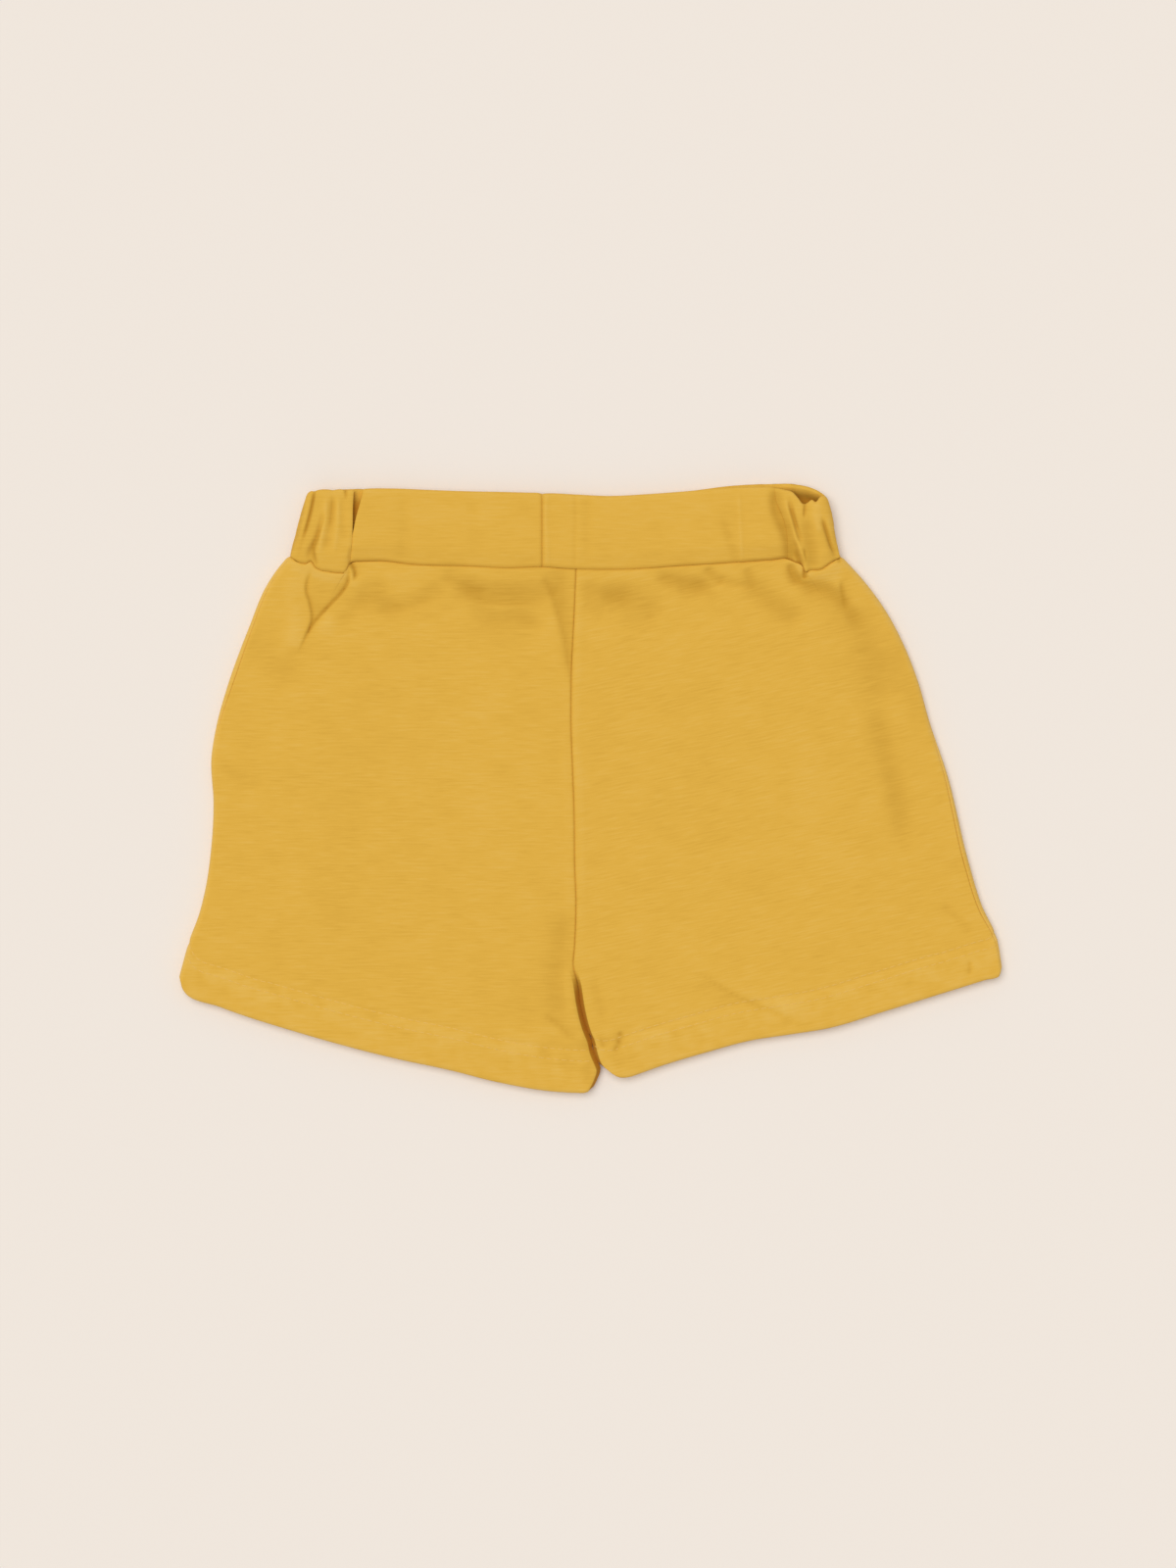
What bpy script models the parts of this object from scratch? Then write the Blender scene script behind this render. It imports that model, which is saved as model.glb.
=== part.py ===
"""Baby shorts in slub jersey knit, laid flat on their back with the front up.

+Z is up, +Y points to the waist, and left and right are as seen from above. Four leg panels, two front
waistband strips and one elasticated back waistband, whose gathered ends come round both sides to the front,
lie on each other as sewn. Every piece is a wall: an outer face worked out from the seam lines, and an inner
face one cloth away. All sizes are in millimetres until the last step, which makes them metres.
"""

from collections import namedtuple

import bmesh
import bpy
import numpy as np

MM = 0.001

# Cloth
PLY = 1.3  # one ply of the knit
HEM_PLY = 2.4  # the turned-up hem, two plies pressed flat
BAND_WALL = 2.6  # two plies with the elastic or interlining between them
SEAM_GAP = 0.3  # between two pieces at a seam

# Turned edges, and how far the cloth sinks at a seam
SIDE_TURN = 3.2  # plan width of the turn at the side of each leg
INSEAM_TURN = 2.2  # plan width of the turn at the inside of each leg
CROTCH_BLEND = 12.0  # length over which the rise seam opens into the two turned edges
SEAM_DIP = 0.6
SEAM_DIP_REACH = 1.6
EDGE_ROUNDING = 0.7  # how far a folded edge is rounded off
STITCH_DIP = 0.4  # how far the hem's stitching pulls the cloth in
HEM_DEPTH = 16.0  # from the hem's folded edge to its stitching

# Seam lines in plan, each from the waist down or from the side to the middle
SIDE_LINE = {
    "left": [
        (-119, 91), (-124, 86), (-127.9, 80.6), (-134.7, 63.2), (-143.1, 40.1), (-147.7, 22.8),
        (-149.3, 11.3), (-148.5, -6.1), (-149.3, -23.4), (-152, -40.7), (-157.4, -58), (-162, -75),
    ],
    "right": [
        (99, 90.9), (108.5, 80.8), (116.8, 69), (122.9, 57.5), (129.8, 40.1), (140.4, 5.5),
        (148.8, -29.2), (154.1, -46.5), (159.5, -58), (162, -71.5),
    ],
}
RISE_LINE = [(-6.1, 86), (-7.6, 45.9), (-8, 22.4), (-6.4, -7.6), (-6.1, -46.1), (-6.8, -63), (-7.6, -69.6)]
INSEAM_LINE = {
    "left": [(-5.8, -79.2), (-3.6, -91.5), (-0.9, -102.4), (1.6, -109), (2.4, -114), (1.2, -117.8)],
    "right": [(-5.8, -79.2), (-2.9, -91.5), (0, -102.4), (2.9, -108), (6.6, -111.6)],
}
HEM_LINE = {
    "left": [
        (-162, -75), (-159.4, -80.4), (-145.4, -86.4), (-114.6, -96.3), (-76.1, -106.7), (-37.6, -115.5),
        (-6.8, -120), (-1.2, -119.8), (1.2, -117.8),
    ],
    "right": [
        (162, -71.5), (160.8, -73.8), (154.9, -75.7), (139.5, -80.7), (116.4, -87.6), (93.3, -94.5),
        (77.9, -97.7), (62.5, -99.6), (47.1, -103.5), (24, -110.8), (16.4, -113.8), (11.2, -113.8),
        (6.6, -111.6),
    ],
}
# The waist seam, from the left side to the right: the front's steps down under both elasticated ends
FRONT_WAIST_SEAM = [
    (-119, 91), (-114.5, 88.9), (-108, 87.4), (-102, 85.4), (-96, 85), (-92.5, 87.2), (-78.4, 89.2),
    (-49, 87.2), (-32, 86.4), (-19, 86.6), (-6.1, 86), (14, 85.9), (37, 87.4), (59, 88.7), (75, 89),
    (80.5, 87.2), (84.5, 85.6), (90, 85.8), (94.5, 88.2), (99, 90.9),
]
BACK_WAIST_SEAM = [(-119, 91), (-90, 90), (-49, 88.4), (-6.1, 87.6), (37, 88.4), (80, 90), (99, 90.9)]
FRONT_TOP_EDGE = [
    (-115, 114.6), (-109, 116.8), (-92, 116.9), (-88, 117.5), (-76, 117.9), (-50, 117.1), (-19, 116.2),
    (-6, 115.6), (10, 115.2), (32, 116.4), (50, 117.7), (66, 118), (76, 116.8), (80.5, 114.2), (84, 110.4),
    (89, 112), (96, 111.5),
]
BACK_TOP_EDGE = [
    (-115, 114.6), (-109, 116), (-60, 116), (-6, 114.8), (16, 115.6), (40, 117.6), (55, 119.4), (72, 119.8),
    (80, 119.4), (87.5, 117.6), (92, 115), (97, 110),
]

# Height of the front's outer face at its side and over its middle, down from the waist seam
Station = namedtuple("Station", "share side middle")
FRONT_HEIGHTS = {
    "left": [
        Station(0, 6.4, 6.4), Station(0.05, 6.2, 6.1), Station(0.18, 5.6, 6.5), Station(0.45, 5.2, 6.3),
        Station(0.8, 5.3, 6), Station(1, 5.8, 5.8),
    ],
    "right": [
        Station(0, 6.5, 6.4), Station(0.05, 6.2, 6.1), Station(0.18, 5.7, 6.5), Station(0.45, 5.3, 6.4),
        Station(0.8, 5.3, 6.1), Station(1, 5.8, 5.8),
    ],
}
MIDDLE_SHARE = 0.3  # share of the width, from the side, by which the cloth has the height of its middle
# The side seam lies on the outline, and rolls round to the front where it shows: degrees round the turned
# edge
SeamRoll = namedtuple("SeamRoll", "share degrees")
SIDE_SEAM_ROLL = {
    "left": [
        SeamRoll(0, 40), SeamRoll(0.2, 56), SeamRoll(0.3, 68), SeamRoll(0.4, 50), SeamRoll(0.53, 5),
        SeamRoll(1, 0),
    ],
    "right": [
        SeamRoll(0, 0), SeamRoll(0.36, 5), SeamRoll(0.6, 66), SeamRoll(0.7, 76), SeamRoll(0.85, 70),
        SeamRoll(1, 30),
    ],
}

# The largest folds: a soft trough along each path, deepest in the middle of its length
Fold = namedtuple("Fold", "piece path half_width depth")
FADE_SHARE = 0.25  # share of a path's length over which its fold fades, at each end
FADE_START = 0.25  # how far through that fade the path begins
FRONT_FOLDS = [
    # hollows under the waistband, where the knit bellies out below it
    Fold("left", [(-99, 65), (-78, 74), (-59, 80.6), (-40, 77), (-18, 74)], 5, 1.0),
    Fold("left", [(-50, 69), (-32, 65), (-18, 62)], 4, 0.5),
    Fold("right", [(0, 75), (14, 73), (26, 68)], 5, 0.7),
    Fold("right", [(26, 82), (47, 79), (60, 81.5), (71, 75.6), (84, 65)], 4.5, 0.9),
    # the hollow left of the rise seam, running down from the join in the waistband
    Fold("left", [(-17, 88), (-12.5, 67), (-9, 36)], 3.4, 1.1),
    # the small inverted tuck below the left elastic
    Fold("left", [(-110.6, 87), (-112, 78.6), (-110.4, 67), (-114.6, 52)], 2.2, 1.0),
    Fold("left", [(-95.4, 87), (-98.5, 77), (-106.9, 68), (-113, 61)], 2.2, 1.1),
    # the long folds that run from the right elastic down the side
    Fold("right", [(79, 88), (88, 79), (101, 71), (110, 58)], 4, 1.2),
    Fold("right", [(108, 46), (113.3, 24), (117.5, 5), (122, -18)], 5, 0.8),
    # the crease across the right hem
    Fold("right", [(38, -76), (60.5, -84), (87, -96)], 3, 0.5),
]
BACK_FOLDS = [
    Fold("left", [(-104, 84), (-96, 62), (-90, 36)], 5, 0.9),
    Fold("left", [(-48, 86), (-44, 66), (-36, 44)], 5, 0.8),
    Fold("left", [(-132, -22), (-112, -40), (-84, -50)], 5, 0.7),
    Fold("right", [(78, 84), (74, 64), (66, 40)], 5, 0.9),
    Fold("right", [(30, 86), (28, 62), (22, 42)], 5, 0.8),
    Fold("right", [(130, -12), (112, -34), (88, -46)], 5, 0.7),
]

# Waistband: the outline and the two front ends of the elasticated band, and the ends of the flat strips
# between them, by share of the way up from the seam to the top edge
BandRow = namedtuple("BandRow", "share left_edge left_end left_strip right_strip right_end right_edge")
BAND_ROWS = [
    BandRow(0, -118.8, -94.3, -94, 77.7, 78, 99.2),
    BandRow(0.25, -117, -93.9, -93.6, 76.5, 76.8, 97.1),
    BandRow(0.5, -115.4, -93.6, -93.2, 75.3, 75.6, 96.2),
    BandRow(0.75, -113.9, -93.3, -91, 74, 74.3, 95.5),
    BandRow(1, -111.6, -92.8, -88.2, 72.8, 73.1, 93.4),
]
BAND_JOIN = -19  # the seam between the two front strips
BandHeight = namedtuple("BandHeight", "x height")
BAND_HEIGHTS = [
    BandHeight(-95, 8.6), BandHeight(-80, 8), BandHeight(-19, 7.5), BandHeight(20, 7.5), BandHeight(62, 8.2),
    BandHeight(78, 8.8),
]
LOOP_HEIGHT = {"left": 8.8, "right": 9.1}
LOOP_TURN = 5  # plan width of the elastic's turn at each side
END_DIP = 1.6  # how far an end of the band sinks into its seam
END_REACH = 3.0
# Gathers of the elastic: even ones round the sides and the back, and those that show on its two front ends
GATHERS = 45
GATHER_DEPTHS = (1.1, 0.6, 0.95, 0.45, 1.05, 0.75)
FRONT_SHARE = 0.6  # share of the band's height above which those of the front ends take over
BAND_FOLDS = [
    Fold("band", [(-108.4, 116.5), (-109.9, 107), (-112.4, 99.7), (-114.2, 90)], 1.7, 1.1),
    Fold("band", [(-105.7, 106), (-107.6, 97.8), (-108.6, 92), (-108.4, 86)], 1.5, 1.0),
    Fold("band", [(-101.1, 116.5), (-101.5, 104.7), (-102.6, 97)], 1.8, 0.7),
    Fold("band", [(78.8, 113), (79.9, 103.6), (81.8, 98)], 1.3, 0.7),
    Fold("band", [(91, 107), (93.4, 97.8), (96.1, 90)], 1.5, 1.0),
]

# Mesh density
TURN_COLUMNS = 4
INSEAM_ANGLES = (90, 60, 30, 0)
FLAT_COLUMNS = {"front": 19, "back": 9}
SIDE_CROWDING = 1.45  # above 1, the columns stand closer near the side
LEG_LENGTH = 190  # along the cloth, from the waist seam to the hem
CROTCH_SHARE = 0.76  # share of the leg's rows at which the rise seam ends
ROWS_DOWN = [
    0, 1.6, 5.5, 10, 15, 20, 25, 31, 39, 49, 61, 74, 88, 102, 116, 130, 140, 146, 152, 158, 165, 172.9,
    LEG_LENGTH - HEM_DEPTH, 175.1, 181.5, 188.7, LEG_LENGTH,
]
GATHER_COLUMNS = 4  # for each gather
TURN_ANGLES = 25  # round each side of the elasticated band
BAND_ROWS_UP = (0, 0.04, 0.35, 0.65, 0.96, 1)
STRIP_ROWS_UP = (0, 0.04, 0.5, 0.96, 1)
STRIP_COLUMNS = (0, 0.02, 0.08, 0.2, 0.32, 0.44, 0.56, 0.68, 0.8, 0.92, 0.96, 0.98, 1)


def shares_of(points):
    """Share of the length of a line of points at which each point stands."""
    lengths = np.linalg.norm(np.diff(np.asarray(points, float), axis=0), axis=1)
    return np.concatenate([[0], np.cumsum(lengths)]) / lengths.sum()


def smooth_curve(points, share):
    """Points at the given shares of a smooth curve's length: cubic pieces through the points, each point's
    slope being that of the chord between its neighbours."""
    return smooth_table(shares_of(points), points, share)


def smooth_table(knots, values, at):
    """Cubic interpolation of rows of values, given at rising knots."""
    knots, values, at = (np.asarray(a, float) for a in (knots, values, at))
    slopes = np.gradient(values, knots, axis=0)
    i = np.clip(np.searchsorted(knots, at, side="right") - 1, 0, len(knots) - 2)
    step = knots[i + 1] - knots[i]
    f = np.clip((at - knots[i]) / step, 0, 1)
    if values.ndim > 1:
        step, f = step[..., None], f[..., None]
    start = (1 + 2 * f) * (1 - f) ** 2 * values[i] + f * (1 - f) ** 2 * step * slopes[i]
    end = f**2 * (3 - 2 * f) * values[i + 1] + f**2 * (f - 1) * step * slopes[i + 1]
    return start + end


def column(rows, name):
    """One named column of a table of rows."""
    return [getattr(row, name) for row in rows]


def from_table(rows, name, share):
    """A named column of a table, by share, along straight lines between the rows."""
    return np.interp(share, column(rows, "share"), column(rows, name))


def line_height(line, x):
    """The y of a seam line at x, along straight lines between its points."""
    return np.interp(x, [p[0] for p in line], [p[1] for p in line])


def ease(x):
    """0 below 0, 1 above 1, and a smooth step between."""
    x = np.clip(x, 0, 1)
    return x * x * (3 - 2 * x)


def near_path(path, x, y):
    """For each point, its distance to a smooth path in plan, and the share of the path's length it is
    nearest to."""
    share = np.linspace(0, 1, 61)
    line = smooth_curve(path, share)
    away = np.hypot(x[..., None] - line[:, 0], y[..., None] - line[:, 1])
    return away.min(-1), share[away.argmin(-1)]


def fold_depth(folds, piece, x, y):
    """Depth of the folds at each point: a bell across each path, fading towards both of its ends."""
    depth = np.zeros_like(x)
    for fold in folds:
        if fold.piece == piece:
            away, share = near_path(fold.path, x, y)
            fade = ease(share / FADE_SHARE + FADE_START) * ease((1 - share) / FADE_SHARE + FADE_START)
            depth += fold.depth * fade * np.exp(-((away / fold.half_width) ** 2))
    return depth


def leg_edges(leg, rows):
    """The side line and the middle line of one leg at each row, from the waist seam to the hem."""
    away = SEAM_GAP / 2 if leg == "right" else -SEAM_GAP / 2
    middle = [(x + away, y) for x, y in RISE_LINE + INSEAM_LINE[leg]]
    rise, inseam = shares_of(RISE_LINE), shares_of(RISE_LINE[-1:] + INSEAM_LINE[leg])
    knots = np.concatenate([rise * CROTCH_SHARE, CROTCH_SHARE + inseam[1:] * (1 - CROTCH_SHARE)])
    return smooth_curve(SIDE_LINE[leg], rows), smooth_table(knots, middle, rows)


def waist_y(x, height_share):
    """The y of the waist seam: from the back's line on the surface to the front's at full height."""
    back, front = line_height(BACK_WAIST_SEAM, x), line_height(FRONT_WAIST_SEAM, x)
    return back * (1 - height_share) + front * height_share


def leg_plan(leg, across, height_share, rows):
    """Plan position of each grid point: a patch stretched between the leg's four seam lines. It is the
    sheet ruled from side to middle, plus the one ruled from waist to hem, less the flat one through the
    four corners."""
    side, middle = leg_edges(leg, rows)
    hem = smooth_curve(HEM_LINE[leg], across)
    top_left, top_right = side[0], middle[0]
    u, v = across[..., None], rows[:, None, None]
    waist_x = top_left[0] + (top_right[0] - top_left[0]) * across
    waist = np.stack([waist_x, waist_y(waist_x, height_share) - SEAM_GAP], -1)
    top = (1 - u) * top_left + u * top_right
    bottom = (1 - u) * side[-1] + u * middle[-1]
    corners = (1 - v) * top + v * bottom
    return (1 - u) * side[:, None] + u * middle[:, None] + (1 - v) * waist + v * hem - corners


def panel(leg, ply):
    """Outer and inner face of a leg panel, as grids from the waist down and from the side to the middle.
    The front lies over the back. At the side both turn on an ellipse to the side seam. At the middle they
    dip to the rise seam, and below the crotch they turn on an ellipse to the inseam. The inner face is one
    cloth further in, square to the turn."""
    way = 1 if ply == "front" else -1
    down = np.array(ROWS_DOWN)
    rows = down / LEG_LENGTH
    side, middle = leg_edges(leg, rows)
    width = np.linalg.norm(middle - side, axis=1)[:, None]
    inward = ((middle - side) / width)[:, None, :]

    # angle of each column round the turned edge at the side and at the inseam, the seam's half gap being an
    # angle too
    half_gap = way * SEAM_GAP / 2 / (SIDE_TURN - PLY / 2)
    roll = np.radians(from_table(SIDE_SEAM_ROLL[leg], "degrees", rows))[:, None] + half_gap
    turn = roll + (way * np.pi / 2 - roll) * np.linspace(0, 1, TURN_COLUMNS + 1)
    inseam = np.radians(INSEAM_ANGLES)[None, :] + np.zeros_like(width)
    flat_shares = np.linspace(0, 1, FLAT_COLUMNS[ply])[1:-1] ** SIDE_CROWDING
    flat = SIDE_TURN + (width - SIDE_TURN - INSEAM_TURN) * flat_shares
    across = np.concatenate([
        SIDE_TURN * (1 - np.cos(turn)), flat, width - INSEAM_TURN * (1 - np.cos(inseam)),
    ], 1) / width
    opening = ease((rows - CROTCH_SHARE) * LEG_LENGTH / CROTCH_BLEND)[:, None]
    lean = np.concatenate([np.cos(turn), 0 * flat, -np.cos(inseam) * opening], 1)
    stand = np.concatenate([np.sin(turn), way + 0 * flat, way * (1 - opening + opening * np.sin(inseam))], 1)

    plan = leg_plan(leg, across, 0.5 + 0.5 * stand, rows)
    x, y = plan[..., 0], plan[..., 1]
    low_side, high_middle = (from_table(FRONT_HEIGHTS[leg], name, rows)[:, None] for name in ("side", "middle"))
    half = low_side / 2
    top = low_side + (high_middle - low_side) * ease(across / MIDDLE_SHARE) - fold_depth(FRONT_FOLDS, leg, x, y)
    floor = fold_depth(BACK_FOLDS, leg, x, y)
    hem_line = LEG_LENGTH - HEM_DEPTH
    seam_dip = SEAM_DIP * (1 - ease(down / SEAM_DIP_REACH))[:, None]
    stitch_dip = STITCH_DIP * (down == hem_line)[:, None]
    rounding = EDGE_ROUNDING * (down == LEG_LENGTH)[:, None]
    reach = np.where(stand > 0, top - half, half - floor)
    z = half + reach * stand
    # the last columns: the dip to the rise seam above the crotch, the turn to the inseam below it
    last = slice(-len(INSEAM_ANGLES), None)
    level = half + way * reach[:, last]
    closed = level - way * SEAM_DIP * (1 - np.sin(inseam))
    turned = half + way * (SEAM_GAP / 2 + (reach[:, last] - SEAM_GAP / 2) * np.sin(inseam))
    z[:, last] = closed + (turned - closed) * opening
    outer = np.stack([x, y, z - stand * (seam_dip + stitch_dip + rounding)], -1)
    cloth = np.where(down > hem_line, HEM_PLY, PLY)[:, None]
    inner_z = z - stand * (cloth - rounding)
    inner = np.concatenate([plan + inward * (cloth * lean)[..., None], inner_z[..., None]], 2)
    return outer, inner


def along(path, share):
    """Points at shares of a path's length, along its straight pieces, and the path's length."""
    knots = shares_of(path)
    length = np.linalg.norm(np.diff(path, axis=0), axis=1).sum()
    return np.stack([np.interp(share, knots, path[:, k]) for k in (0, 1)], -1), length


def band_path(up, inset):
    """The elasticated band's path in section, as x and z, at one share of its height: from its left end
    over the front, round the left side, along the back and round the right side to its right end, a given
    depth inside its outer face."""
    angle = np.linspace(np.pi / 2, -np.pi / 2, TURN_ANGLES)
    turns = []
    for side, way in (("left", 1), ("right", -1)):
        half = LOOP_HEIGHT[side] / 2
        edge = from_table(BAND_ROWS, f"{side}_edge", up)
        x = edge + way * (LOOP_TURN - (LOOP_TURN - inset) * np.cos(angle))
        turns.append(np.stack([x, half + (half - inset) * np.sin(angle)], 1)[::way])
    ends = [(from_table(BAND_ROWS, f"{side}_end", up), LOOP_HEIGHT[side] - inset) for side in ("left", "right")]
    return np.concatenate([ends[:1], *turns, ends[1:]])


def band_y(x, height_share, up):
    """The y of a band point: the given share of the way from the waist seam to the top edge."""
    top = line_height(BACK_TOP_EDGE, x) * (1 - height_share) + line_height(FRONT_TOP_EDGE, x) * height_share
    return waist_y(x, height_share) * (1 - up) + top * up


def edge_rounding(up):
    """How much a band is rounded off at its two long edges."""
    return EDGE_ROUNDING if up in (0, 1) else 0


def back_band():
    """Outer and inner face of the elasticated band. Its gathers are ripples pressed into the outer face,
    which give way to the gathers of its own table where it comes round to the front."""
    columns = np.linspace(0, 1, GATHERS * GATHER_COLUMNS + 1)
    depths = np.resize(GATHER_DEPTHS, GATHERS + 1)[(columns * GATHERS).astype(int)]
    ripple = depths * (0.5 - 0.5 * np.cos(2 * np.pi * GATHERS * columns))
    outer, inner = [], []
    for up in BAND_ROWS_UP:
        face, length = along(band_path(up, 0), columns)
        middle, _ = along(band_path(up, BAND_WALL / 2), columns)
        normal = (face - middle) / np.linalg.norm(face - middle, axis=1)[:, None]
        height = np.where(face[:, 0] < 0, LOOP_HEIGHT["left"], LOOP_HEIGHT["right"])
        share = np.clip(face[:, 1] / height, 0, 1)
        y = band_y(face[:, 0], share, up)
        on_front = ease((share - FRONT_SHARE) / (1 - FRONT_SHARE))
        end = END_DIP * (1 - ease(np.minimum(columns, 1 - columns) * length / END_REACH))
        gathers = ripple * (1 - on_front) + fold_depth(BAND_FOLDS, "band", face[:, 0], y) * on_front
        sunk = gathers + edge_rounding(up)
        for depth, points in ((sunk + end, outer), (BAND_WALL - edge_rounding(up) / 2 + end / 2, inner)):
            section = face - normal * np.broadcast_to(depth, columns.shape)[:, None]
            points.append(np.stack([section[:, 0], y, section[:, 1]], -1))
    return np.array(outer), np.array(inner)


def front_strip(side):
    """Outer and inner face of one flat strip of the front waistband, from the join to its end at the
    elastic."""
    columns = np.array(STRIP_COLUMNS)
    join = BAND_JOIN + (SEAM_GAP / 2 if side == "right" else -SEAM_GAP / 2)
    outer, inner = [], []
    for up in STRIP_ROWS_UP:
        length = from_table(BAND_ROWS, f"{side}_strip", up) - join
        x = join + length * columns
        end = END_DIP * (1 - ease((1 - columns) * abs(length) / END_REACH))
        start = SEAM_DIP * (1 - ease(columns * abs(length) / SEAM_DIP_REACH))
        level = np.interp(x, column(BAND_HEIGHTS, "x"), column(BAND_HEIGHTS, "height"))
        y = band_y(x, 1, up)
        outer.append(np.stack([x, y, level - end - start - edge_rounding(up)], -1))
        inner.append(np.stack([x, y, level - BAND_WALL + edge_rounding(up) / 2], -1))
    return np.array(outer), np.array(inner)


def cloth_material():
    """Mustard slub cotton: matt, with no metal."""
    material = bpy.data.materials.new("mustard slub knit")
    material.use_nodes = True
    shader = material.node_tree.nodes["Principled BSDF"]
    shader.inputs["Base Color"].default_value = (0.74, 0.42, 0.07, 1)
    shader.inputs["Roughness"].default_value = 0.9
    shader.inputs["Metallic"].default_value = 0
    return material


def sew(name, faces, collection, material):
    """One piece: two grids of the same layout, its outer and its inner face, joined round their edges."""
    shape = bmesh.new()
    rows, columns = faces[0].shape[:2]
    for face in faces:
        made = bmesh.ops.create_grid(shape, x_segments=columns - 1, y_segments=rows - 1, size=0.5)
        for vertex in made["verts"]:
            row, at = round((vertex.co.y + 0.5) * (rows - 1)), round((vertex.co.x + 0.5) * (columns - 1))
            vertex.co = face[row, at] * MM
    bmesh.ops.bridge_loops(shape, edges=[edge for edge in shape.edges if edge.is_boundary])
    bmesh.ops.recalc_face_normals(shape, faces=shape.faces)
    mesh = bpy.data.meshes.new(name)
    shape.to_mesh(mesh)
    shape.free()
    mesh.shade_smooth()
    mesh.set_sharp_from_angle(angle=np.radians(50))
    mesh.materials.append(material)
    collection.objects.link(bpy.data.objects.new(name, mesh))


def main():
    for obj in list(bpy.data.objects):
        bpy.data.objects.remove(obj)
    shorts = bpy.data.collections.new("baby_shorts")
    bpy.context.scene.collection.children.link(shorts)
    cloth = cloth_material()
    for leg in ("left", "right"):
        sew(f"front_panel_{leg}", panel(leg, "front"), shorts, cloth)
        sew(f"back_panel_{leg}", panel(leg, "back"), shorts, cloth)
        sew(f"waistband_front_{leg}", front_strip(leg), shorts, cloth)
    sew("waistband_back", back_band(), shorts, cloth)


main()
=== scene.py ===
"""Baby shorts in mustard slub jersey, laid flat on their back: the folds, gathers, seams and knit of each
piece.

Run as a script in Blender 4.5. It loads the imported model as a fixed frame, hides each plain solid behind a
finer piece of cloth of the same form, and sets them on a pale floor under soft light. Shapes are worked out
in millimetres in the frame's axes, +Z up and +Y to the waist, and become metres when a mesh is made. Left
and right are as seen from above.
"""

from collections import namedtuple

import bpy
import numpy as np
from bpy.props import FloatProperty, FloatVectorProperty, IntProperty, PointerProperty
from bpy.types import NodeSocket, Operator, Panel, PropertyGroup
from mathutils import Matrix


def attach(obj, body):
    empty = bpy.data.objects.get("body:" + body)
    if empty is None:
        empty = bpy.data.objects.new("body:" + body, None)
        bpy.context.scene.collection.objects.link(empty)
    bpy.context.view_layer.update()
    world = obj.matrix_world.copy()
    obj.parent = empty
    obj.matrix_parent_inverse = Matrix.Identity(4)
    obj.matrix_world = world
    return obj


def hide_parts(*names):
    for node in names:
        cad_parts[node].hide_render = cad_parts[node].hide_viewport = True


bl_info = {
    "name": "Baby Shorts",
    "version": (1, 0, 0),
    "blender": (4, 5, 0),
    "location": "3D View > Sidebar > Shorts",
    "description": "The cloth of a pair of baby shorts laid flat, with its floor, light and camera",
    "category": "Add Mesh",
}

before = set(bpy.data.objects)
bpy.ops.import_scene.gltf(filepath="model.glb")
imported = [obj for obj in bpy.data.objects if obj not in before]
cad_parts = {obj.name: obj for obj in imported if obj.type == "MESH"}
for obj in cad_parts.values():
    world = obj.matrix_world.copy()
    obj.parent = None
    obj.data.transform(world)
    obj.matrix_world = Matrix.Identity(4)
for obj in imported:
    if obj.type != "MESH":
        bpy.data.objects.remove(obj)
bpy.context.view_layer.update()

MM = 0.001
BODY = "root"
SIDES = ("left", "right")
KNIT_MAP = "knit"  # the UV map of every cloth piece, in metres along the knit's courses and wales
WEAR_AND_PAINTED_LIGHT = "wash"  # the attribute of wear and painted light: the worn hem lighter, painted highlight along turned edges, painted shade in creases, seams, the slot and inside


# -------- the cut

# Seam lines in plan, each from the waist down or from the side to the middle
SIDE_LINE = {
    "left": [
        (-119, 91), (-123.2, 86), (-127, 80.3), (-134.3, 63.2), (-142.8, 40.1), (-147.5, 22.8),
        (-149.2, 11.3), (-148.3, -6.1), (-149.2, -23.4), (-151.7, -40.7), (-154.2, -50.4), (-157.3, -58.5),
        (-162, -75),
    ],
    "right": [
        (99, 90.9), (108.1, 80.8), (116.6, 69), (122.7, 57.5), (129.5, 40.1), (133.2, 26.6), (140.3, 5.5),
        (148.8, -29.2), (154.1, -46.5), (159.5, -58), (162, -71.5),
    ],
}
RISE_LINE = [
    (-5.6, 86), (-6.4, 67), (-7.4, 45.9), (-7.5, 22.4), (-7, 9), (-6.4, -7.6), (-6.1, -30), (-5.6, -46.1),
    (-6.2, -63), (-6.7, -69.6),
]
SLOT_LINE = [
    (-5.2, -76.5), (-4, -84.3), (-2.8, -90), (-1.4, -94.7), (0.4, -99.3), (1.5, -104), (3.1, -107.8),
]
INSEAM_LINE = {
    "left": SLOT_LINE + [(4, -110.4), (3.1, -113.6), (0.7, -118.6)],
    "right": SLOT_LINE + [(5, -109.6), (7.2, -111.4)],
}
HEM_LINE = {
    "left": [
        (-162, -75), (-159.4, -80.4), (-145.4, -86.2), (-114.6, -96.2), (-76.1, -106.5), (-55, -111),
        (-37.6, -115.4), (-13.7, -119.4), (-6.8, -119.8), (-1.6, -119.7), (0.7, -118.6),
    ],
    "right": [
        (162, -71.5), (160.8, -73.8), (154.9, -75.6), (139.5, -80.4), (116.4, -87.6), (93.3, -94.5),
        (77.9, -97), (62.5, -99.4), (47.1, -103.5), (24, -110.6), (19.3, -112.3), (15, -113.7),
        (11.4, -113.8), (7.2, -111.4),
    ],
}
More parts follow.
